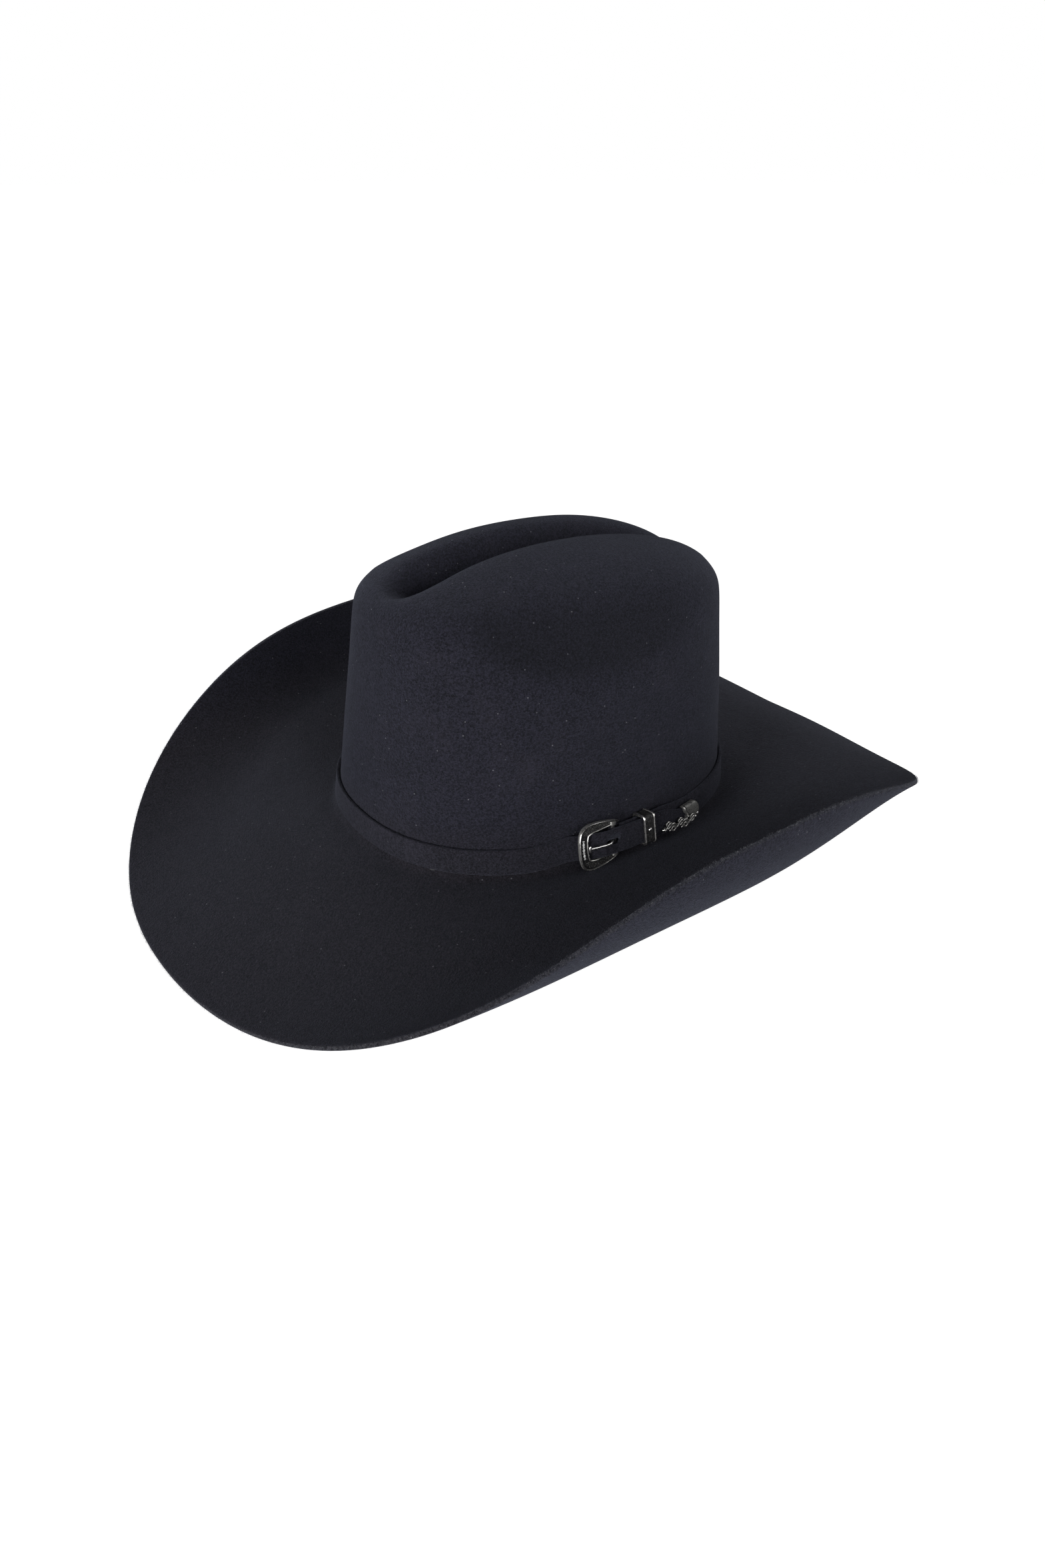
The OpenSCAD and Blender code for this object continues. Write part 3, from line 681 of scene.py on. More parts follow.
satin = satin_finish("lining_satin", (0.38, 0.37, 0.345), (0.23, 0.22, 0.205))
piping = ribbon_finish("piping_cord", (0.30, 0.29, 0.27), (0.16, 0.155, 0.145), 0.0011)
ribbon = ribbon_finish("grosgrain_ribbon", (0.030, 0.030, 0.036), (0.008, 0.008, 0.010), 0.0008)
thread = thread_finish("sewing_thread", (0.035, 0.035, 0.042), (0.010, 0.010, 0.012))
paper = paper_finish("label_paper")
lint = thread_finish("edge_fibre", (0.22, 0.22, 0.24), (0.06, 0.06, 0.07))


# ---- stamping small shapes along a path ----


def stamping_tree(shape, material):
    """Sets one small shape at every point of a mesh, turned by the point's along and out directions."""
    tree = bpy.data.node_groups.new(f"stamp_{shape}", "GeometryNodeTree")
    face = tree.interface
    face.new_socket("Places", in_out="INPUT", socket_type="NodeSocketGeometry")
    for label, value in (("Length", 0.001), ("Width", 0.001), ("Height", 0.001), ("Variation", 0.0)):
        face.new_socket(label, in_out="INPUT", socket_type="NodeSocketFloat").default_value = value
    face.new_socket("Seed", in_out="INPUT", socket_type="NodeSocketInt").default_value = SEED
    face.new_socket("Stamped", in_out="OUTPUT", socket_type="NodeSocketGeometry")

    def node(kind, settings=None, values=None):
        made = tree.nodes.new(kind)
        for key, value in (settings or {}).items():
            setattr(made, key, value)
        for key, value in (values or {}).items():
            if isinstance(value, bpy.types.NodeSocket):
                tree.links.new(value, made.inputs[key])
            else:
                made.inputs[key].default_value = value
        return made

    given = node("NodeGroupInput").outputs
    if shape == "bead":
        stamp = node("GeometryNodeMeshIcoSphere", None, {"Radius": 1, "Subdivisions": 2})
    else:
        sides, top, depth = {"lozenge": (4, 0.4, 1), "hair": (3, 0.1, 2)}[shape]
        sizes = {"Vertices": sides, "Radius Top": top, "Radius Bottom": 1, "Depth": depth}
        stamp = node("GeometryNodeMeshCone", None, sizes)
    along, out = (
        node("GeometryNodeInputNamedAttribute", {"data_type": "FLOAT_VECTOR"}, {"Name": label}).outputs[0]
        for label in ("along", "out")
    )
    axes = {"primary_axis": "Z", "secondary_axis": "X"}
    turned = node("FunctionNodeAxesToRotation", axes, {0: out, 1: along})
    spread = {"Min": -1.0, "Max": 1.0, "Seed": given["Seed"]}
    chance = node("FunctionNodeRandomValue", {"data_type": "FLOAT"}, spread)
    swing = {0: chance.outputs[1], 1: given["Variation"], 2: 1.0}
    swing = node("ShaderNodeMath", {"operation": "MULTIPLY_ADD"}, swing).outputs[0]
    size = {0: given["Length"], 1: given["Width"], 2: given["Height"]}
    size = node("ShaderNodeCombineXYZ", None, size).outputs[0]
    size = node("ShaderNodeVectorMath", {"operation": "SCALE"}, {0: size, "Scale": swing}).outputs[0]
    placing = {"Points": given["Places"], "Instance": stamp.outputs["Mesh"]}
    placing |= {"Rotation": turned.outputs[0], "Scale": size}
    placed = node("GeometryNodeInstanceOnPoints", None, placing)
    real = node("GeometryNodeRealizeInstances", None, {0: placed.outputs[0]})
    shaded = {0: real.outputs[0], "Shade Smooth": shape == "bead"}
    shaded = node("GeometryNodeSetShadeSmooth", None, shaded)
    painted = node("GeometryNodeSetMaterial", None, {0: shaded.outputs[0], "Material": material})
    node("NodeGroupOutput", None, {0: painted.outputs[0]})
    return tree


def stamped(name, shape, places, along, out, size, material, variation=0.0):
    """A piece made of one small shape set at each place. Size is its length, width and height, in mm."""
    mesh = bpy.data.meshes.new(name)
    mesh.from_pydata((np.asarray(places, float) * MM).tolist(), [], [])
    for label, vectors in (("along", along), ("out", out)):
        layer = mesh.attributes.new(label, "FLOAT_VECTOR", "POINT")
        vectors = np.broadcast_to(np.asarray(vectors, float), (len(places), 3))
        layer.data.foreach_set("vector", vectors.astype(np.float32).ravel())
    piece = add(name, mesh)
    tree = stamping_tree(shape, material)
    modifier = piece.modifiers.new("stamps", "NODES")
    modifier.node_group = tree
    ids = {s.name: s.identifier for s in tree.interface.items_tree if s.in_out == "INPUT"}
    for label, value in zip(("Length", "Width", "Height"), size):
        modifier[ids[label]] = value * MM
    modifier[ids["Variation"]] = float(variation)
    modifier[ids["Seed"]] = SEED
    return plain(piece)


def joined(name, pieces):
    """Joins small meshes of one body and one material into one piece."""
    points, faces = [], []
    for p in pieces:
        faces += [tuple(i + len(points) for i in f.vertices) for f in p.data.polygons]
        points += [tuple(v.co) for v in p.data.vertices]
    mesh = bpy.data.meshes.new(name)
    mesh.from_pydata(points, [], faces)
    mesh.materials.append(pieces[0].data.materials[0])
    for p in pieces:
        bpy.data.objects.remove(p)
    mesh.polygons.foreach_set("use_smooth", [True] * len(faces))
    mesh.set_sharp_from_angle(angle=math.radians(35))
    return add(name, mesh)


# ---- camera, floor and light ----

VIEW_AZ, VIEW_EL, VIEW_D, LENS = 52.9, 32.3, 0.575, 23.65
VIEW_SIDE, VIEW_RISE = -0.003, -0.0062
WORLD_LIGHT, FLOOR_LIGHT, FLOOR_PAINTED_SHADE = 0.04, 0.04, 0.84
FLOOR_R, FLOOR_SIDES = 9, 64


def towards(azimuth, elevation):
    """The direction of a place that looks at the hat. Azimuth 0 is straight in front of it."""
    a, e = math.radians(azimuth), math.radians(elevation)
    return Vector((math.sin(a) * math.cos(e), -math.cos(a) * math.cos(e), math.sin(e)))


back = towards(VIEW_AZ, VIEW_EL)
right = Vector((math.cos(math.radians(VIEW_AZ)), math.sin(math.radians(VIEW_AZ)), 0))
up = back.cross(right)
camera = bpy.data.objects.new("camera", bpy.data.cameras.new("camera"))
bpy.context.scene.collection.objects.link(camera)
camera.matrix_world = Matrix.Translation(right * VIEW_SIDE + up * VIEW_RISE + back * VIEW_D) @ (
    Matrix((right, up, back)).transposed().to_4x4()
)
camera.data.sensor_width, camera.data.lens = 36, LENS
camera.data.clip_start, camera.data.clip_end = 0.01, 100
bpy.context.scene.camera = camera
bpy.context.scene.view_settings.view_transform = "Standard"


def floor_disc():
    """A wide pale floor that the brim rests on."""
    mesh = bpy.data.meshes.new("floor")
    turns = np.arange(FLOOR_SIDES) * 2 * math.pi / FLOOR_SIDES
    ring = [(FLOOR_R * math.cos(a), FLOOR_R * math.sin(a), cad_low.z) for a in turns]
    mesh.from_pydata(ring, [], [tuple(range(FLOOR_SIDES))])
    r = Recipe("pale_floor")
    mottle = r.noise(r.here(), 3, 2)
    seen = r.node("ShaderNodeLightPath")
    # Seen by the camera the floor glows, white far from the hat and dimmer close to it, a painted shade
    # round the hat. Other rays get only a faint glow.
    far = r.node("ShaderNodeVectorMath", {"operation": "LENGTH"}, {0: r.here()}, 1).over(0.25, 1.1)
    shown = r.blend(far, (FLOOR_PAINTED_SHADE,) * 3, (1.0, 1.0, 1.0))
    mesh.materials.append(
        r.done(
            Base_Color=r.blend(mottle, (0.56, 0.56, 0.56), (0.59, 0.59, 0.59)),
            Roughness=0.8,
            Emission_Color=r.blend(seen, (FLOOR_LIGHT,) * 3, shown),
            Emission_Strength=1.0,
        )
    )
    return add("floor", mesh)


floor_disc()

world = bpy.data.worlds.new("studio")
world.use_nodes = True
# The backdrop looks white, and lights the hat with less than it shows
glow = world.node_tree.nodes["Background"]
glow.inputs[0].default_value = (1, 1, 1, 1)
ray = world.node_tree.nodes.new("ShaderNodeLightPath")
level = world.node_tree.nodes.new("ShaderNodeMath")
level.operation = "MULTIPLY_ADD"
level.inputs[1].default_value = 1 - WORLD_LIGHT
level.inputs[2].default_value = WORLD_LIGHT
world.node_tree.links.new(ray.outputs["Is Camera Ray"], level.inputs[0])
world.node_tree.links.new(level.outputs[0], glow.inputs[1])
bpy.context.scene.world = world


def softbox(name, azimuth, elevation, size, power):
    """A square light that faces the hat."""
    place = towards(azimuth, elevation) * 1.7
    light = bpy.data.objects.new(name, bpy.data.lights.new(name, "AREA"))
    light.data.size, light.data.energy = size, power
    light.location = place
    light.rotation_euler = place.to_track_quat("Z", "Y").to_euler()
    bpy.context.scene.collection.objects.link(light)


softbox("key_light", 90, 19, 1.0, 16)
softbox("front_light", 12, 6, 0.8, 31)
softbox("fill_light", -110, 50, 1.0, 6)
softbox("rear_light", 150, 30, 1.0, 4.6)


# ---- felt body ----

AROUND = 312
TURNS = np.arange(AROUND) * 360 / AROUND
EDGE_R = 0.75
SOFT_ABOVE, SOFT_BELOW, SOFT_TIMES = 20, 14, 60
FIBRES, HAIR = 6500, (0.035, 0.035, 0.26)


def handled(p):
    """The slight unevenness of a hand-shaped hat: slow swells of the brim and crown, none under the band."""
    x, y, z = p[..., 0], p[..., 1], p[..., 2]
    reach = np.sqrt((x / OVAL_W) ** 2 + (y / OVAL_L) ** 2)
    on_brim = smooth(clamp((reach - 1.15) / 0.35)) * (z < 60)
    on_crown = smooth(clamp((z - 26) / 30)) * (reach < 1.12)
    swell = np.sin(x * 0.041 + y * 0.027 + 0.6) + np.sin(y * 0.049 - x * 0.019 + 2.1)
    out = p.copy()
    out[..., 2] += 0.38 * on_brim * swell
    press = np.sin(y * 0.06 + z * 0.045 + 1.3) + np.sin(z * 0.08 - y * 0.037 + 0.4)
    out[..., 0] += 0.28 * on_crown * press * np.sign(x) * clamp(np.abs(x) / 30)
    return out


def felt_rings():
    """Rings from the crown's middle down its outside to the brim's edge, and back up its inside."""
    spread = np.linspace(0.012, 0.88, 36)
    angles = [math.degrees(math.acos(r ** (SHOULDER_N / 2))) for r in spread]
    angles += list(np.linspace(angles[-1], 0, 24)[1:-1])
    rings = [crown_top(TURNS, a) for a in angles]
    rings += [wall(TURNS, k) for k in np.linspace(1, BRIM_BREAK / 100, 52)[:-1]]
    rings += [break_curve(TURNS, q) for q in np.linspace(0, 1, 9)]
    lip = EDGE_R / BRIM_SIDE
    rings += [brim(TURNS, u) for u in np.linspace(BRIM_BREAK / BRIM_SIDE, 1 - lip, 62)[1:]]
    for face, angles_round in ((0, (30, 60, 90)), (FELT, (90, 60, 30, 0))):
        for a in angles_round:
            down = abs(face - EDGE_R * (1 - cosd(a)))
            rings.append(brim(TURNS, 1 - lip * (1 - sind(a)), down))
    # The felt turns softly over the shoulder between the top and the wall
    turn = slice(len(angles) - SOFT_ABOVE, len(angles) + SOFT_BELOW)
    for _ in range(SOFT_TIMES):
        soft = np.array(rings[turn])
        soft[1:-1] = soft[1:-1] * 0.5 + (soft[:-2] + soft[2:]) * 0.25
        rings[turn] = list(soft)
    inner = BRIM_BREAK + FELT
    below = len(rings)
    rings += [brim(TURNS, u, FELT) for u in np.linspace(1 - lip, inner / BRIM_SIDE, 46)[1:-1]]
    rings += [break_curve(TURNS, q, FELT) for q in np.linspace(1, 0, 7)]
    rings += [wall(TURNS, k, FELT) for k in np.linspace(inner / 100, 1, 34)[1:]]
    rings += [crown_top(TURNS, a, FELT) for a in np.linspace(0, angles[0], 26)[1:]]
    return np.stack(rings), below


def felt_body():
    rings, below = felt_rings()
    rings = handled(rings)
    poles = [handled(crown_top(np.array([0.0]), 90, d))[0] for d in (0, FELT)]
    # The marks carry painted shade into the lower part of each side dent.
    mark = dent_painted_shade(rings)
    mark[below - 6 : below - 1] = -1
    skin = Skin().shell(rings, ends=poles, mark=mark)
    skin.piece("felt_hat", felt, "hat", "felt", "felt_body", sharp=50)


def edge_fibres():
    """Loose fibres that stand out of the brim's cut edge."""
    chance = np.random.default_rng(SEED)
    fine = np.linspace(0, 360, 4001)
    rim = brim(fine, 1.0, FELT / 2)
    run = np.concatenate([[0], np.cumsum(np.linalg.norm(np.diff(rim, axis=0), axis=1))])
    t = np.interp(chance.uniform(0, run[-1], FIBRES), run, fine)
    down = chance.uniform(0.1, FELT - 0.1, FIBRES)
    place = np.stack([brim(a, 0.9995, d) for a, d in zip(t, down)])
    outward = place - np.stack([brim(a, 0.985, d) for a, d in zip(t, down)])
    outward /= np.linalg.norm(outward, axis=1)[:, None]
    lean = outward + chance.normal(0, 0.45, (FIBRES, 3))
    lean /= np.linalg.norm(lean, axis=1)[:, None]
    side = chance.normal(0, 1, (FIBRES, 3))
    piece = stamped("edge_fibres", "hair", handled(place) + lean * 0.25, side, lean, HAIR, lint, 0.6)
    settle(piece, None, "hat", "felt")


# ---- band ----

BAND_START, BAND_END = t_behind(3.5), t_behind(TIP_A - 1.5) - 360
SETTLE_A, RISE_A = KEEPER_A + 8, (-26, -5)


def share(t, start, end):
    a, b = t_behind(start), t_behind(end)
    return smooth(clamp((a - t) / (a - b)))


def is_first(t):
    return t > -180


def settled(t):
    return np.where(is_first(t), share(t, SETTLE_A, SETTLE_A + 24), share(t + 360, SETTLE_A - 2, TIP_A - 13))


def band_level(t):
    first = between(LEVEL_BAR, LEVEL_BAND, settled(t))
    outer = between(between(LEVEL_BAND, LEVEL_BILLET, share(t + 360, *RISE_A)), LEVEL_TIP, settled(t))
    return np.where(is_first(t), first, outer)


def band_mid(t):
    first = between(BUCKLE_Z, BAND_Z, settled(t))
    outer = between(between(BAND_Z, BUCKLE_Z, share(t + 360, -45, -15)), TIP_Z, settled(t))
    return np.where(is_first(t), first, outer)


def band_half(t):
    return between(BAND_H, np.where(is_first(t), BAND_H, TIP_H), settled(t)) / 2


def cut_with(piece, cutter_mesh):
    cutter = add("cutter", cutter_mesh)
    modifier = piece.modifiers.new("cut", "BOOLEAN")
    modifier.operation, modifier.object, modifier.solver = "DIFFERENCE", cutter, "EXACT"
    plain(piece)
    bpy.data.objects.remove(cutter)
    return piece


def hatband():
    t = np.linspace(BAND_START, BAND_END, 760)
    level, middle, half = band_level(t), band_mid(t), band_half(t)
    waver = 0.036 * np.sin(t * 0.9) + 0.024 * np.sin(t * 2.3 + 1)
    rings = []
    for x, out in rounded_box(1, BAND_T / 2, 0.55, 4):
        side = np.sign(x) * (half - (1 - abs(x)))
        rings.append(on_band(t, middle + side + waver, level + out))
    piece = add("felt_band", Skin().shell(np.stack(rings, 1)).mesh("felt_band", 60))
    seat = Seat(BAR_T, BUCKLE_Z, LEVEL_BILLET)
    outline = rounded_box(3.9, 1.65, 1.6, 5)
    slot = [seat.put([(x - 2.7, y, z) for x, y in outline]) for z in (-2.2, 2.2)]
    cut_with(piece, Skin().shell(slot).mesh("slot"))
    settle(piece, strap_felt, "hat", "felt", "hatband")


def chape():
    """The strip that folds round the buckle's bar. The prong comes out between its two narrow leaves."""
    seat = Seat(BAR_T, BUCKLE_Z, LEVEL_BAR)
    radius = LEVEL_CHAPE_OUT - LEVEL_BAR + CHAPE_T / 2
    half_h = (BAND_H - 1) / 2
    leaf = np.linspace(CHAPE_LEN, 0.5, 10)
    bend = [(-radius * sind(a), -radius * cosd(a)) for a in np.linspace(0, 180, 17)]
    fold = [(x, -radius) for x in leaf] + bend + [(x, radius) for x in leaf[::-1]]
    flats = [[(x, s * radius) for x in np.linspace(3.2, CHAPE_LEN, 12)] for s in (-1, 1)]
    skin = Skin()
    for low, high, paths in ((1.6, half_h, [fold]), (-half_h, -1.6, [fold]), (-2.0, 2.0, flats)):
        middle = (low + high) / 2
        box = rounded_box((high - low) / 2, CHAPE_T / 2, 0.3, 3)
        for path in paths:
            rings = [
                [(x + dz * w, middle + h, z - dx * w) for h, w in box]
                for (x, z), (dx, dz) in zip(path, headings(path))
            ]
            skin.shell(seat.put(rings))
    skin.piece("chape", strap_felt, "hat", "felt", "buckle_chape")


# ---- buckle set ----

FRAME_TILT = 6.0
frame_seat = Seat(BAR_T, BUCKLE_Z, LEVEL_BAR, tilt=FRAME_TILT)
# Half of the frame's middle line, from an arm's tip to the closed end, with its half widths
FRAME_LINE = [
    (3.6, 8.0), (0.5, 8.6), (-4.0, 9.1), (-9.0, 9.4), (-13.9, 9.4),
    (-17.1, 8.2), (-18.3, 5.2), (-18.6, 2.5), (-18.7, 0.0),
]
FRAME_HALF = [0.25, 1.0, 1.65, 2.25, 2.6, 2.75, 2.7, 2.6, 2.55]
STATIONS = 181
# Across the frame, from its outer edge to its inner one: place, height and how dark the plating is there
FRAME_PROFILE = [
    (-1.0, -0.45, 0.7), (-1.03, 0.2, 0.5), (-1.0, 0.85, 0.15), (-0.95, 1.22, 0.0), (-0.87, 1.38, 0.0),
    (-0.79, 1.3, 0.05), (-0.75, 1.0, 0.6), (-0.7, 0.62, 1.0), (-0.5, 0.55, 1.0), (-0.2, 0.62, 0.9),
    (0.2, 0.62, 0.9), (0.5, 0.55, 1.0), (0.7, 0.6, 1.0), (0.76, 0.85, 0.6), (0.81, 1.12, 0.05),
    (0.88, 1.2, 0.0), (0.96, 1.08, 0.0), (1.0, 0.8, 0.3), (1.0, 0.45, 0.6), (0.98, 0.1, 0.8),
    (0.5, -0.1, 0.8), (-0.5, -0.45, 0.8),
]


def mirrored(points, flip):
    """A path from one arm's tip round to the other's."""
    points = np.asarray(points, float)
    return np.concatenate([points, points[-2::-1] * flip])


frame_line = curve_through(mirrored(FRAME_LINE, (1, -1)), STATIONS)
frame_half = curve_through(mirrored(np.array(FRAME_HALF)[:, None], 1), STATIONS)[:, 0]
frame_tangent = headings(frame_line)
frame_inward = np.stack([-frame_tangent[:, 1], frame_tangent[:, 0]], 1)


def on_frame(i, across, height):
    """A place on the buckle's frame, at a station of its middle line."""
    p = frame_line[i] + frame_inward[i] * frame_half[i] * across
    return frame_seat.put([p[0], p[1], height])


def buckle_frame():
    skin = Skin()
    rings = []
    for i in range(STATIONS):
        thin = min(1.0, 0.45 + frame_half[i] / 3.0)
        rings.append([on_frame(i, a, -0.45 + (h + 0.45) * thin) for a, h, _ in FRAME_PROFILE])
    skin.shell(rings, mark=[m for _, _, m in FRAME_PROFILE])
    for s in (-1, 1):
        lug = [
            [(r * cosd(a), s * 8 + y, r * sind(a)) for a in range(0, 360, 15)]
            for y, r in ((-1.0, 1.2), (-0.9, 1.65), (0.0, 1.75), (0.9, 1.65), (1.0, 1.2))
        ]
        skin.shell(frame_seat.put(lug), mark=0.25)
    skin.piece("buckle_u_frame", silver, "buckle", "silver", "buckle_frame", sharp=35)
    out = frame_seat.axes[2]
    stamps = []
    for shape, stations, size, height in (
        ("lozenge", (77, 90, 103), (1.5, 0.8, 0.5), 0.74),
        ("bead", (70, 83, 97, 110), (0.4, 0.75, 0.45), 0.66),
    ):
        spots = [on_frame(i, -0.06, height) for i in stations]
        along = [frame_seat.turned([*frame_tangent[i], 0]) for i in stations]
        stamps.append(stamped(f"{shape}_stamp", shape, spots, along, out, size, dull_silver))
    grains = [(i, a) for i in [*range(14, 62, 2), *range(119, 167, 2)] for a in (-0.42, -0.12, 0.18, 0.44)]
    spots = [on_frame(i, a + 0.12 * math.sin(i * 1.7 + a * 9), 0.6) for i, a in grains]
    along = [frame_seat.turned([*frame_tangent[i], 0]) for i, _ in grains]
    size = (0.2, 0.17, 0.16)
    stipple = stamped("buckle_stipple", "bead", spots, along, out, size, oxidised_silver, 0.25)
    settle(joined("buckle_chasing", stamps), None, "buckle", "silver")
    settle(stipple, None, "buckle", "silver")


def buckle_prong():
    seat = Seat(BAR_T, BUCKLE_Z, LEVEL_BAR)
    rise = LEVEL_BILLET + BAND_T / 2 + 0.75 - LEVEL_BAR
    bows = [(-4.6, -0.15), (-6.6, 0.15), (-10.0, -0.35), (-13.4, -0.95), (-16.0, -1.5)]
    line = [(-0.6, 0, 1.5), (-2.6, 0, 3.2)] + [(x, 0, rise + z) for x, z in bows]
    half = np.interp(np.linspace(0, 1, 48), [0, 0.2, 0.55, 0.9, 1.0], [0.95, 0.95, 0.8, 0.6, 0.5])
    skin = Skin().shell(seat.put(swept(curve_through(line, 48), half, half * 0.72, 16)))
    eye = [
        [(r * cosd(a), y, r * sind(a)) for a in range(0, 360, 12)]
        for y, r in ((-1.3, 1.12), (-1.3, 1.85), (-1.1, 2.05), (1.1, 2.05), (1.3, 1.85), (1.3, 1.12))
    ]
    skin.shell(seat.put(eye), wrap=True)
    cross = [(-15.6, y, rise - 1.3) for y in np.linspace(-1.65, 1.65, 15)]
    bulge = 0.62 * np.sqrt(1 - np.linspace(-0.96, 0.96, 15) ** 2) + 0.12
    skin.shell(seat.put(swept(cross, bulge, bulge * 0.8, 14)))
    skin.piece("prong", bright_silver, "prong", "silver", "buckle_prong", sharp=50)


def dome(seat, radius, height, x=0.0, y=0.0):
    """A low rivet head."""
    profile = [(radius, -0.35)]
    profile += [(radius * cosd(a) ** 0.8, height * sind(a)) for a in (0, 12, 30, 48, 66, 80)]
    rings = [[(x + r * cosd(b), y + r * sind(b), z) for b in range(0, 360, 12)] for r, z in profile]
    return Skin().shell(seat.put(rings), ends=seat.put([(x, y, -0.35), (x, y, height)]))


def keeper():
    """A deep loop round the layers of the band, with a rim along each edge and a fluted face."""
    low = HUG - 0.05
    high = LEVEL_BILLET + BAND_T / 2 + KEEPER_AIR + SHEET
    seat = Seat(t_behind(KEEPER_A), BUCKLE_Z, (low + high) / 2)
    corners = rounded_box(BAND_H / 2 + KEEPER_AIR, (high - low) / 2 - SHEET, 1.0, 7)
    loop = []
    for a, b in zip(corners, np.roll(corners, -1, 0)):
        steps = max(1, int(np.linalg.norm(b - a) / 0.6))
        loop += [a + (b - a) * k / steps for k in range(steps)]
    ahead = np.roll(loop, -1, 0) - np.roll(loop, 1, 0)
    ahead /= np.linalg.norm(ahead, axis=1)[:, None]
    half = KEEPER_W / 2
    # Along the keeper's width: place, height over the loop and how dark the plating is there
    rim = [(0.25, 0.0, 0.6), (0.0, 0.3, 0.2), (0.0, 1.0, 0.0), (0.3, 1.42, 0.0)]
    rim += [(0.65, 1.45, 0.0), (0.9, 1.2, 0.3), (1.0, 0.85, 1.0)]
    rim = [(x - half, h, m) for x, h, m in rim]
    flutes = enumerate(np.linspace(-half + 1.15, half - 1.15, 17))
    flutes = [(x, 0.8 + 0.08 * (i % 2), 1.0 - 0.22 * (i % 2)) for i, x in flutes]
    profile = rim + flutes + [(-x, h, m) for x, h, m in rim[::-1]]
    rings = []
    for p, n in zip(loop, np.stack([ahead[:, 1], -ahead[:, 0]], 1)):
        behind = smooth(clamp((-n[1] - 0.4) / 0.5))
        thin = between(1.0, KEEPER_BACK / 1.45, behind)
        shift = behind * (SHEET - KEEPER_BACK)
        rings.append([(x, *(p + n * (h * thin + shift))) for x, h, _ in profile])
    skin = Skin().shell(seat.put(rings), wrap=True, mark=[m for _, _, m in profile])
    skin.piece("keeper", grained_silver, "keeper", "silver", "keeper_loop", sharp=32)
    stud = dome(Seat(t_behind(KEEPER_A), BUCKLE_Z, high - 0.12), 1.05, 0.75)
    stud.piece("keeper_stud", bright_silver, "keeper", "silver", "keeper_rivet")


def ornament():
    """A generic running scroll: a waving stem that throws a curl to each side, with beads at its ends."""
    t = t_behind(38.0)
    level = float(band_level(t - 360))
    seat = Seat(t, 0, tilt=2.3, turn=-9)
    seat.origin = Seat(t, float(band_mid(t - 360))).put([0.5, -2.2, level + BAND_T / 2 + 0.9])
    skin = Skin()
    x = np.linspace(-11.4, 11.4, 90)
    wave = 2 * np.pi / 9.0
    stem = np.stack([x, 1.5 * np.sin(x * wave + 0.3), 0.55 + 0.25 * np.cos(x * wave)], 1)
    width = 0.8 * np.clip(1.15 - (np.abs(x) / 12.5) ** 4, 0.25, 1) + 0.12 * np.cos(2 * x * wave)
    # Rubbed bright along the wire's crest and dark below
    tarnish = 0.95 - 0.95 * clamp(sind(np.arange(12) * 30.0) * 1.6 - 0.5)
    skin.shell(seat.put(swept(stem, width, 0.55)), mark=tarnish)
    for k, cx in enumerate(np.arange(-9.2, 10.1, 4.6)):
        side = 1 if k % 2 == 0 else -1
        a = np.linspace(0, 1, 46)
        turn = 200 + 470 * a
        r = 2.15 * (1 - a) ** 0.75 + 0.35
        px = cx + side * 0.2 + r * cosd(turn)
        py = side * (1.15 + r * sind(turn) * 0.95)
        curl = np.stack([px, py, 0.5 + 0.35 * a], 1)
        skin.shell(seat.put(swept(curl, 0.6 - 0.25 * a, 0.55 - 0.12 * a)), mark=tarnish)
    beads = ((-11.9, -0.9, 0.95), (11.9, 0.9, 0.95), (-7.0, -2.1, 0.6), (2.2, -2.3, 0.6), (6.6, 2.1, 0.6))
    for cx, cy, r in beads:
        levels = [(r * cosd(b), 0.5 + r * sind(b)) for b in (-75, -50, -25, 0, 25, 50, 75)]
        ball = [[(cx + q * cosd(a), cy + q * sind(a), z) for a in range(0, 360, 24)] for q, z in levels]
        skin.shell(seat.put(ball), ends=seat.put([(cx, cy, 0.5 - r), (cx, cy, 0.5 + r)]))
    skin.piece("scroll", silver, "hat", "silver", "scroll_ornament", sharp=60)


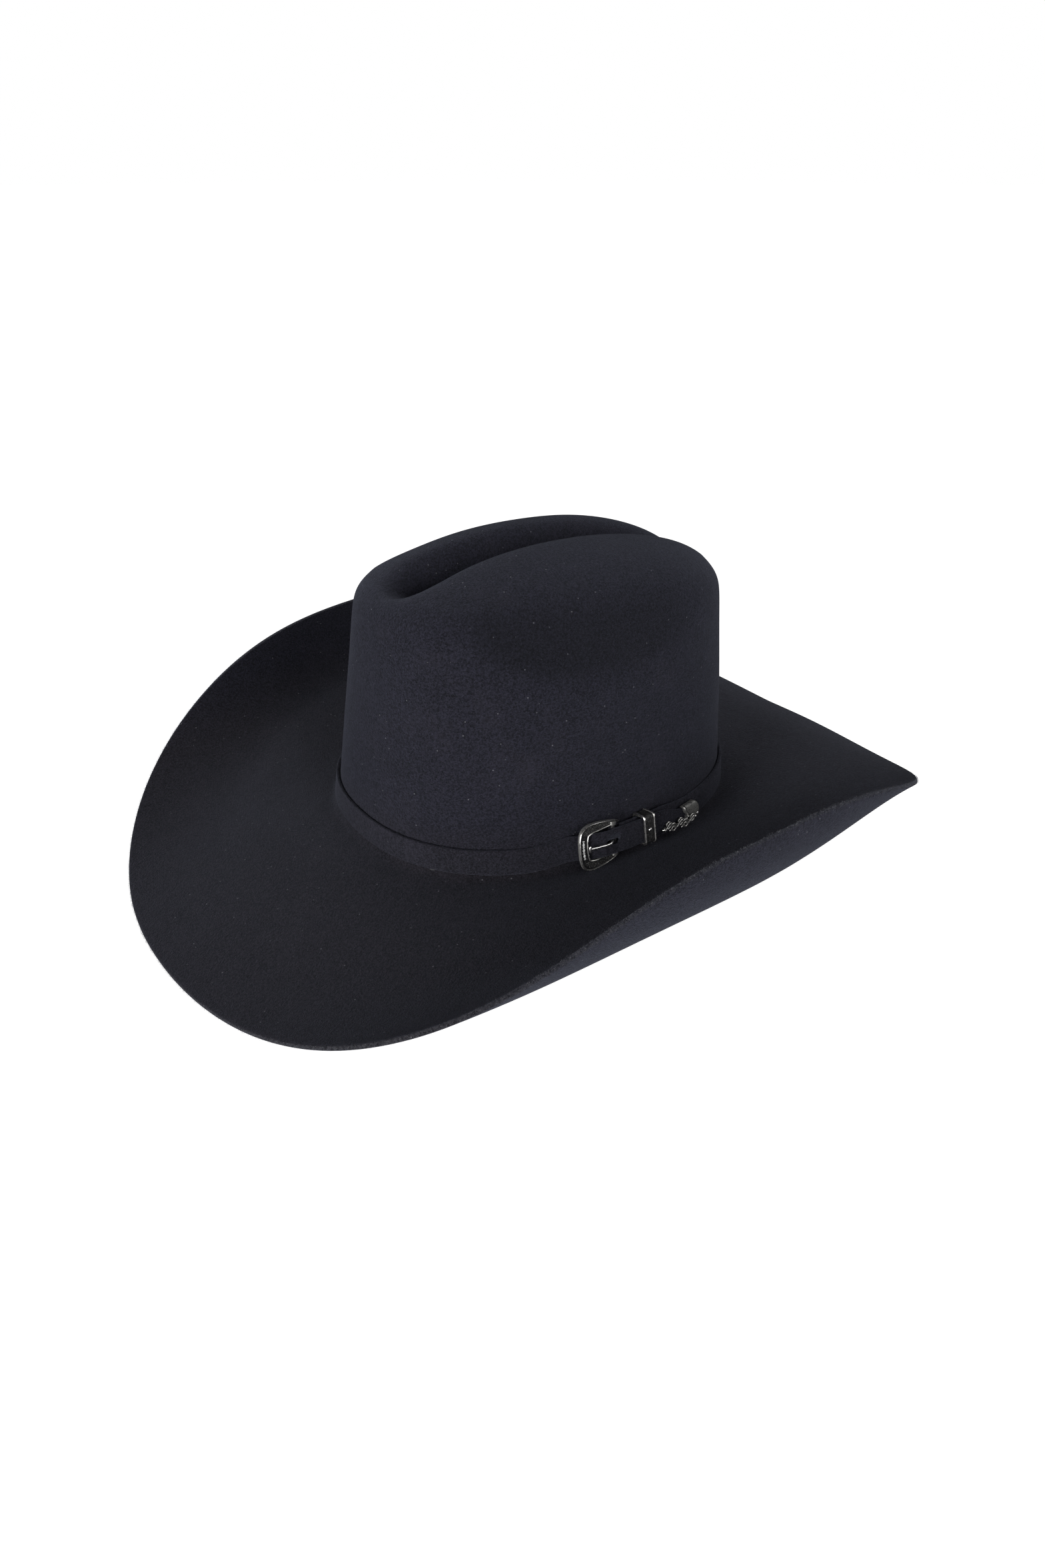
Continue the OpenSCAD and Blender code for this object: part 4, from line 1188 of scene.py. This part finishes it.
def ferrule():
    """The metal tip: a rounded, softly domed cap with a scalloped front edge."""
    t = t_behind(TIP_A - FERRULE_LEN / 2)
    deep = BAND_T + 2 * SHEET - 0.1
    high = TIP_H + 2 * SHEET
    columns, rows = 41, 29
    top, bottom = np.zeros((rows, columns, 3)), np.zeros((rows, columns, 3))
    tone = np.zeros((rows, columns))
    for i, v in enumerate(np.linspace(-1, 1, rows)):
        up = math.sin(v * math.pi / 2)
        left = -FERRULE_LEN / 2 + 1.5 * max(0.0, 1 - (up / 0.62) ** 2) + 0.35 * math.cos(up * 9)
        end = FERRULE_LEN / 2 - high / 2 + high / 2 * math.sqrt(max(0.0, 1 - up * up))
        for j, s in enumerate(np.linspace(0, 1, columns)):
            x = left + (end - left) * (1 - (1 - s) ** 1.6)
            from_end = min(end - x, (1 - abs(up)) * high / 2)
            from_left = min(x - left, 9)
            rim = math.exp(-((from_left - 0.55) ** 2) / 0.18) * 0.42
            groove = math.exp(-((from_left - 1.35) ** 2) / 0.12)
            full = 1 - math.exp(-max(0.0, from_end) / 0.55)
            face = deep / 2 * (0.25 + 0.75 * full)
            top[i, j] = (x, up * high / 2, face + rim * full + 0.25 * (1 - up * up) * full)
            bottom[i, j] = (x, up * high / 2, -face)
            tone[i, j] = min(1.0, 0.66 + 0.4 * groove + 0.15 * (1 - full)) * (1 - min(1.0, rim * 2.2))
    rings = np.concatenate([top, bottom[:, ::-1]], 1)
    mark = np.concatenate([tone, np.full_like(tone, 0.6)], 1)
    skin = Skin().shell(Seat(t, TIP_Z, LEVEL_TIP).put(rings), mark=mark)
    skin.piece("ferrule", silver, "hat", "silver", "tip_ferrule", sharp=50)
    stud = dome(Seat(t, TIP_Z, LEVEL_TIP + deep / 2 + 0.15), 0.95, 0.6, 3.6, -2.4)
    stud.piece("ferrule_stud", bright_silver, "hat", "silver", "tip_rivet")


# ---- inside the crown ----

INSIDE_TURNS = np.arange(300) * 360 / 300
DEGREES_PER_MM = 0.55
GATHERS, TIP_DOME = 42, 2.7


def hoop(profile, swell):
    """Rings round the inside of the crown, one for each height and depth of the profile."""
    return np.stack([inside(INSIDE_TURNS, z, depth + swell(INSIDE_TURNS, z)) for z, depth in profile])


def cord_hoop(turns, z, depth, radii):
    """A round cord along the inside of the crown. radii holds its radius at each of its sides."""
    nx, ny = base_normal(turns)
    middle = inside(turns, z, depth)
    rings = []
    for a, radius in zip(np.arange(len(radii)) * 360 / len(radii), radii):
        rings.append(middle + np.stack([nx * cosd(a), ny * cosd(a), 0 * nx + sind(a)], -1) * radius)
    return Skin().shell(np.stack(rings, 1), wrap=True)


def sweatband():
    low, high = SWEAT_LOW, SWEAT_LOW + SWEAT_H
    heights = list(np.linspace(low + 0.4, high - 0.4, 26))
    profile = [(low, SWEAT_IN + SWEAT_T / 2)] + [(z, SWEAT_IN + SWEAT_T) for z in heights]
    profile += [(high, SWEAT_IN + SWEAT_T / 2)] + [(z, SWEAT_IN) for z in heights[::-1]]

    def buckling(t, z):
        lift = clamp((z - low) / SWEAT_H) ** 2
        return 0.35 * lift * (1 + sind(t * 7 + 20) * sind(t * 3))

    edge = [0.9 if z in (low, high) else 0.35 * max(0.0, 1 - min(z - low, high - z) / 3) for z, _ in profile]
    skin = Skin().shell(hoop(profile, buckling), wrap=True, mark=np.array(edge)[:, None])
    skin.piece("leather_sweatband", leather, "hat", "leather", "sweatband", sharp=50)
    reed = cord_hoop(INSIDE_TURNS, low - REED_R - 0.2, SWEAT_IN + SWEAT_T / 2, [REED_R] * 15)
    reed.piece("reed", ribbon, "hat", "ribbon", "sweatband_reed")

    t = np.arange(168) * 360 / 168
    spots = inside(t, low + 2.5, SWEAT_IN + SWEAT_T + 0.12)
    along = inside(t + 0.5, low + 2.5, SWEAT_IN) - inside(t - 0.5, low + 2.5, SWEAT_IN)
    nx, ny = base_normal(t)
    out = np.stack([nx, ny, 0 * nx], -1)
    piece = stamped("reed_seam", "bead", spots, along, out, (1.15, 0.2, 0.2), thread)
    settle(piece, None, "hat", "thread", "reed_stitches")


def strip_inside(z_range, half_width, depth, thickness, t_mid, rows, bulge):
    """A flat strip on the inside of the crown, with softly rounded edges."""
    rings = []
    for z in np.linspace(*z_range, rows):
        ring = []
        for x, w in rounded_box(half_width, thickness / 2, thickness * 0.4, 3):
            swell = bulge * (1 - (x / half_width) ** 2)
            ring.append(inside(t_mid + x * DEGREES_PER_MM, z, depth + thickness / 2 + w + swell))
        rings.append(ring)
    return np.array(rings)


def seam_tape():
    low, high = SWEAT_LOW + 4, SWEAT_LOW + SWEAT_H - 2
    rings = strip_inside((low, high), 5, SWEAT_IN + SWEAT_T + 0.3, 0.7, -90, 24, 0.15)
    Skin().shell(rings).piece("seam_tape", tape_leather, "hat", "leather", "sweatband_seam_tape")
    spots, along = [], []
    for side in (-1, 1):
        for z in np.arange(low + 1.5, high - 1, 2.6):
            t = -90 + side * 4 * DEGREES_PER_MM
            spots.append(inside(t, z, SWEAT_IN + SWEAT_T + 1.12))
            along.append(inside(t, z + 1, SWEAT_IN) - inside(t, z - 1, SWEAT_IN))
    piece = stamped("tape_seam", "bead", spots, along, (0, 1, 0), (0.85, 0.17, 0.17), thread)
    settle(piece, None, "hat", "thread")


def bow():
    """A small flat ribbon bow at the back of the sweatband: two loops, two tails and a knot."""
    place = inside(-90.0, SWEAT_LOW + 13, SWEAT_IN + SWEAT_T + 1.7)
    skin = Skin()

    def laid(local):
        """Turns X, height and the way out from the leather into the hat's own axes."""
        local = np.asarray(local, float)
        return place + np.stack([local[..., 0], -local[..., 2], local[..., 1]], -1)

    def band(path, width, across, out):
        """A ribbon along a path, with the directions of its width and its thickness."""
        rings = []
        for p, w, a, o in zip(path, width, across, out):
            rings.append([p + a * y + o * q for y, q in rounded_box(w / 2, 0.16, 0.15, 2)])
        skin.shell(laid(rings))

    loop = [(0.6, 0.1, 0.5), (4, 0.5, 0.3), (7.4, 0.9, 0.75), (8.2, 1.0, 1.15)]
    loop += [(7.2, 0.9, 1.5), (4, 0.5, 1.5), (0.6, 0.1, 0.95)]
    tail = [(0.3, -0.8, 0.5), (1.8, -3.0, 0.35), (3.9, -5.6, 0.55), (5.2, -7.6, 0.3)]
    for side in (-1, 1):
        path = curve_through([(side * x, y, z) for x, y, z in loop], 30)
        dx, _, dz = headings(path).T
        width = 2.0 + 2.2 * np.sin(np.pi * np.linspace(0, 1, 30)) ** 0.7
        upright = np.broadcast_to((0.0, 1.0, 0.0), path.shape)
        band(path, width, upright, np.stack([-dz, 0 * dx, dx], 1))
        path = curve_through([(side * x, y, z) for x, y, z in tail], 16)
        dx, dy, _ = headings(path).T
        across = np.stack([dy, -dx, 0 * dx], 1) / np.hypot(dx, dy)[:, None]
        band(path, np.linspace(1.8, 3.2, 16), across, np.broadcast_to((0.0, 0.0, 1.0), path.shape))
    knot = [
        [(x, y * cosd(a), 0.85 + q * sind(a)) for a in range(0, 360, 20)]
        for x, y, q in ((-1.5, 1.3, 0.6), (-1.2, 1.9, 1.0), (0, 2.1, 1.15), (1.2, 1.9, 1.0), (1.5, 1.3, 0.6))
    ]
    skin.shell(laid(knot))
    skin.piece("ribbon_bow", ribbon, "hat", "ribbon", "sweatband_bow", sharp=50)


def lining():
    """The satin side, its tip and the piping cord between them. Gives back the side and the tip."""
    heights = list(np.linspace(LINING_LOW, LINING_Z, 26))
    profile = [(z, LINING_IN + SATIN) for z in heights] + [(z, LINING_IN) for z in heights[::-1]]

    def gathers(t, z):
        lift = clamp((z - LINING_LOW) / (LINING_Z - LINING_LOW)) ** 1.5
        fold = np.abs(sind(t * 21 + 12 * sind(t * 2))) ** 3
        return lift * (0.75 * fold + 0.25 * (1 + sind(t * 5 + z * 3)))

    side = Skin().shell(hoop(profile, gathers), wrap=True)
    side = side.piece("lining_wall", satin, "hat", "satin", "lining_side", sharp=60)

    rim = inside(INSIDE_TURNS, LINING_Z, LINING_IN + SATIN + 1.6)

    def tip_ring(part, lift):
        pucker = 0.28 * cosd(INSIDE_TURNS * GATHERS) * smooth(clamp((part - 0.62) / 0.38))
        z = between(LINING_Z, rim[:, 2], part) + TIP_DOME * (1 - part**2) + lift + pucker
        return np.stack([rim[:, 0] * part, rim[:, 1] * part, z], 1)

    parts = [0.02, 0.1, 0.25, 0.4, 0.55, 0.66, 0.74, 0.82, 0.88, 0.93, 0.97, 1.0]
    rings = [tip_ring(p, SATIN) for p in parts] + [tip_ring(p, 0) for p in parts[::-1]]
    ends = [(0, 0, LINING_Z + TIP_DOME + SATIN), (0, 0, LINING_Z + TIP_DOME)]
    tip = Skin().shell(rings, ends=ends).piece("lining_crown", satin, "hat", "satin", "lining_tip", sharp=60)

    turns = np.arange(720) * 360 / 720
    plies = [(0.55 + 0.1 * cosd(2 * (a - turns * GATHERS)))[:, None] for a in range(0, 360, 30)]
    cord = cord_hoop(turns, LINING_Z - 1, LINING_IN + SATIN + 0.95, plies)
    cord.piece("lining_cord", piping, "hat", "satin", "lining_piping")
    return side, tip


def label():
    top = SWEAT_LOW + SWEAT_H
    rings = strip_inside((top + 0.6, top + 10), 6, LINING_IN + SATIN + 0.9, 0.3, -110, 12, 0.5)
    Skin().shell(rings).piece("label_tab", paper, "hat", "label", "size_tab")


felt_body()
edge_fibres()
hatband()
chape()
buckle_frame()
buckle_prong()
keeper()
ornament()
ferrule()
sweatband()
seam_tape()
bow()
lining_side, lining_tip = lining()
label()

CAD_FINISH = {
    "buckle_bar": bright_silver,
    "ornament_pins": silver,
    "band_stitches": thread,
    "chape_stitches": thread,
}
for node, finish in CAD_FINISH.items():
    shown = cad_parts[node]
    shown.data.materials.clear()
    shown.data.materials.append(finish)
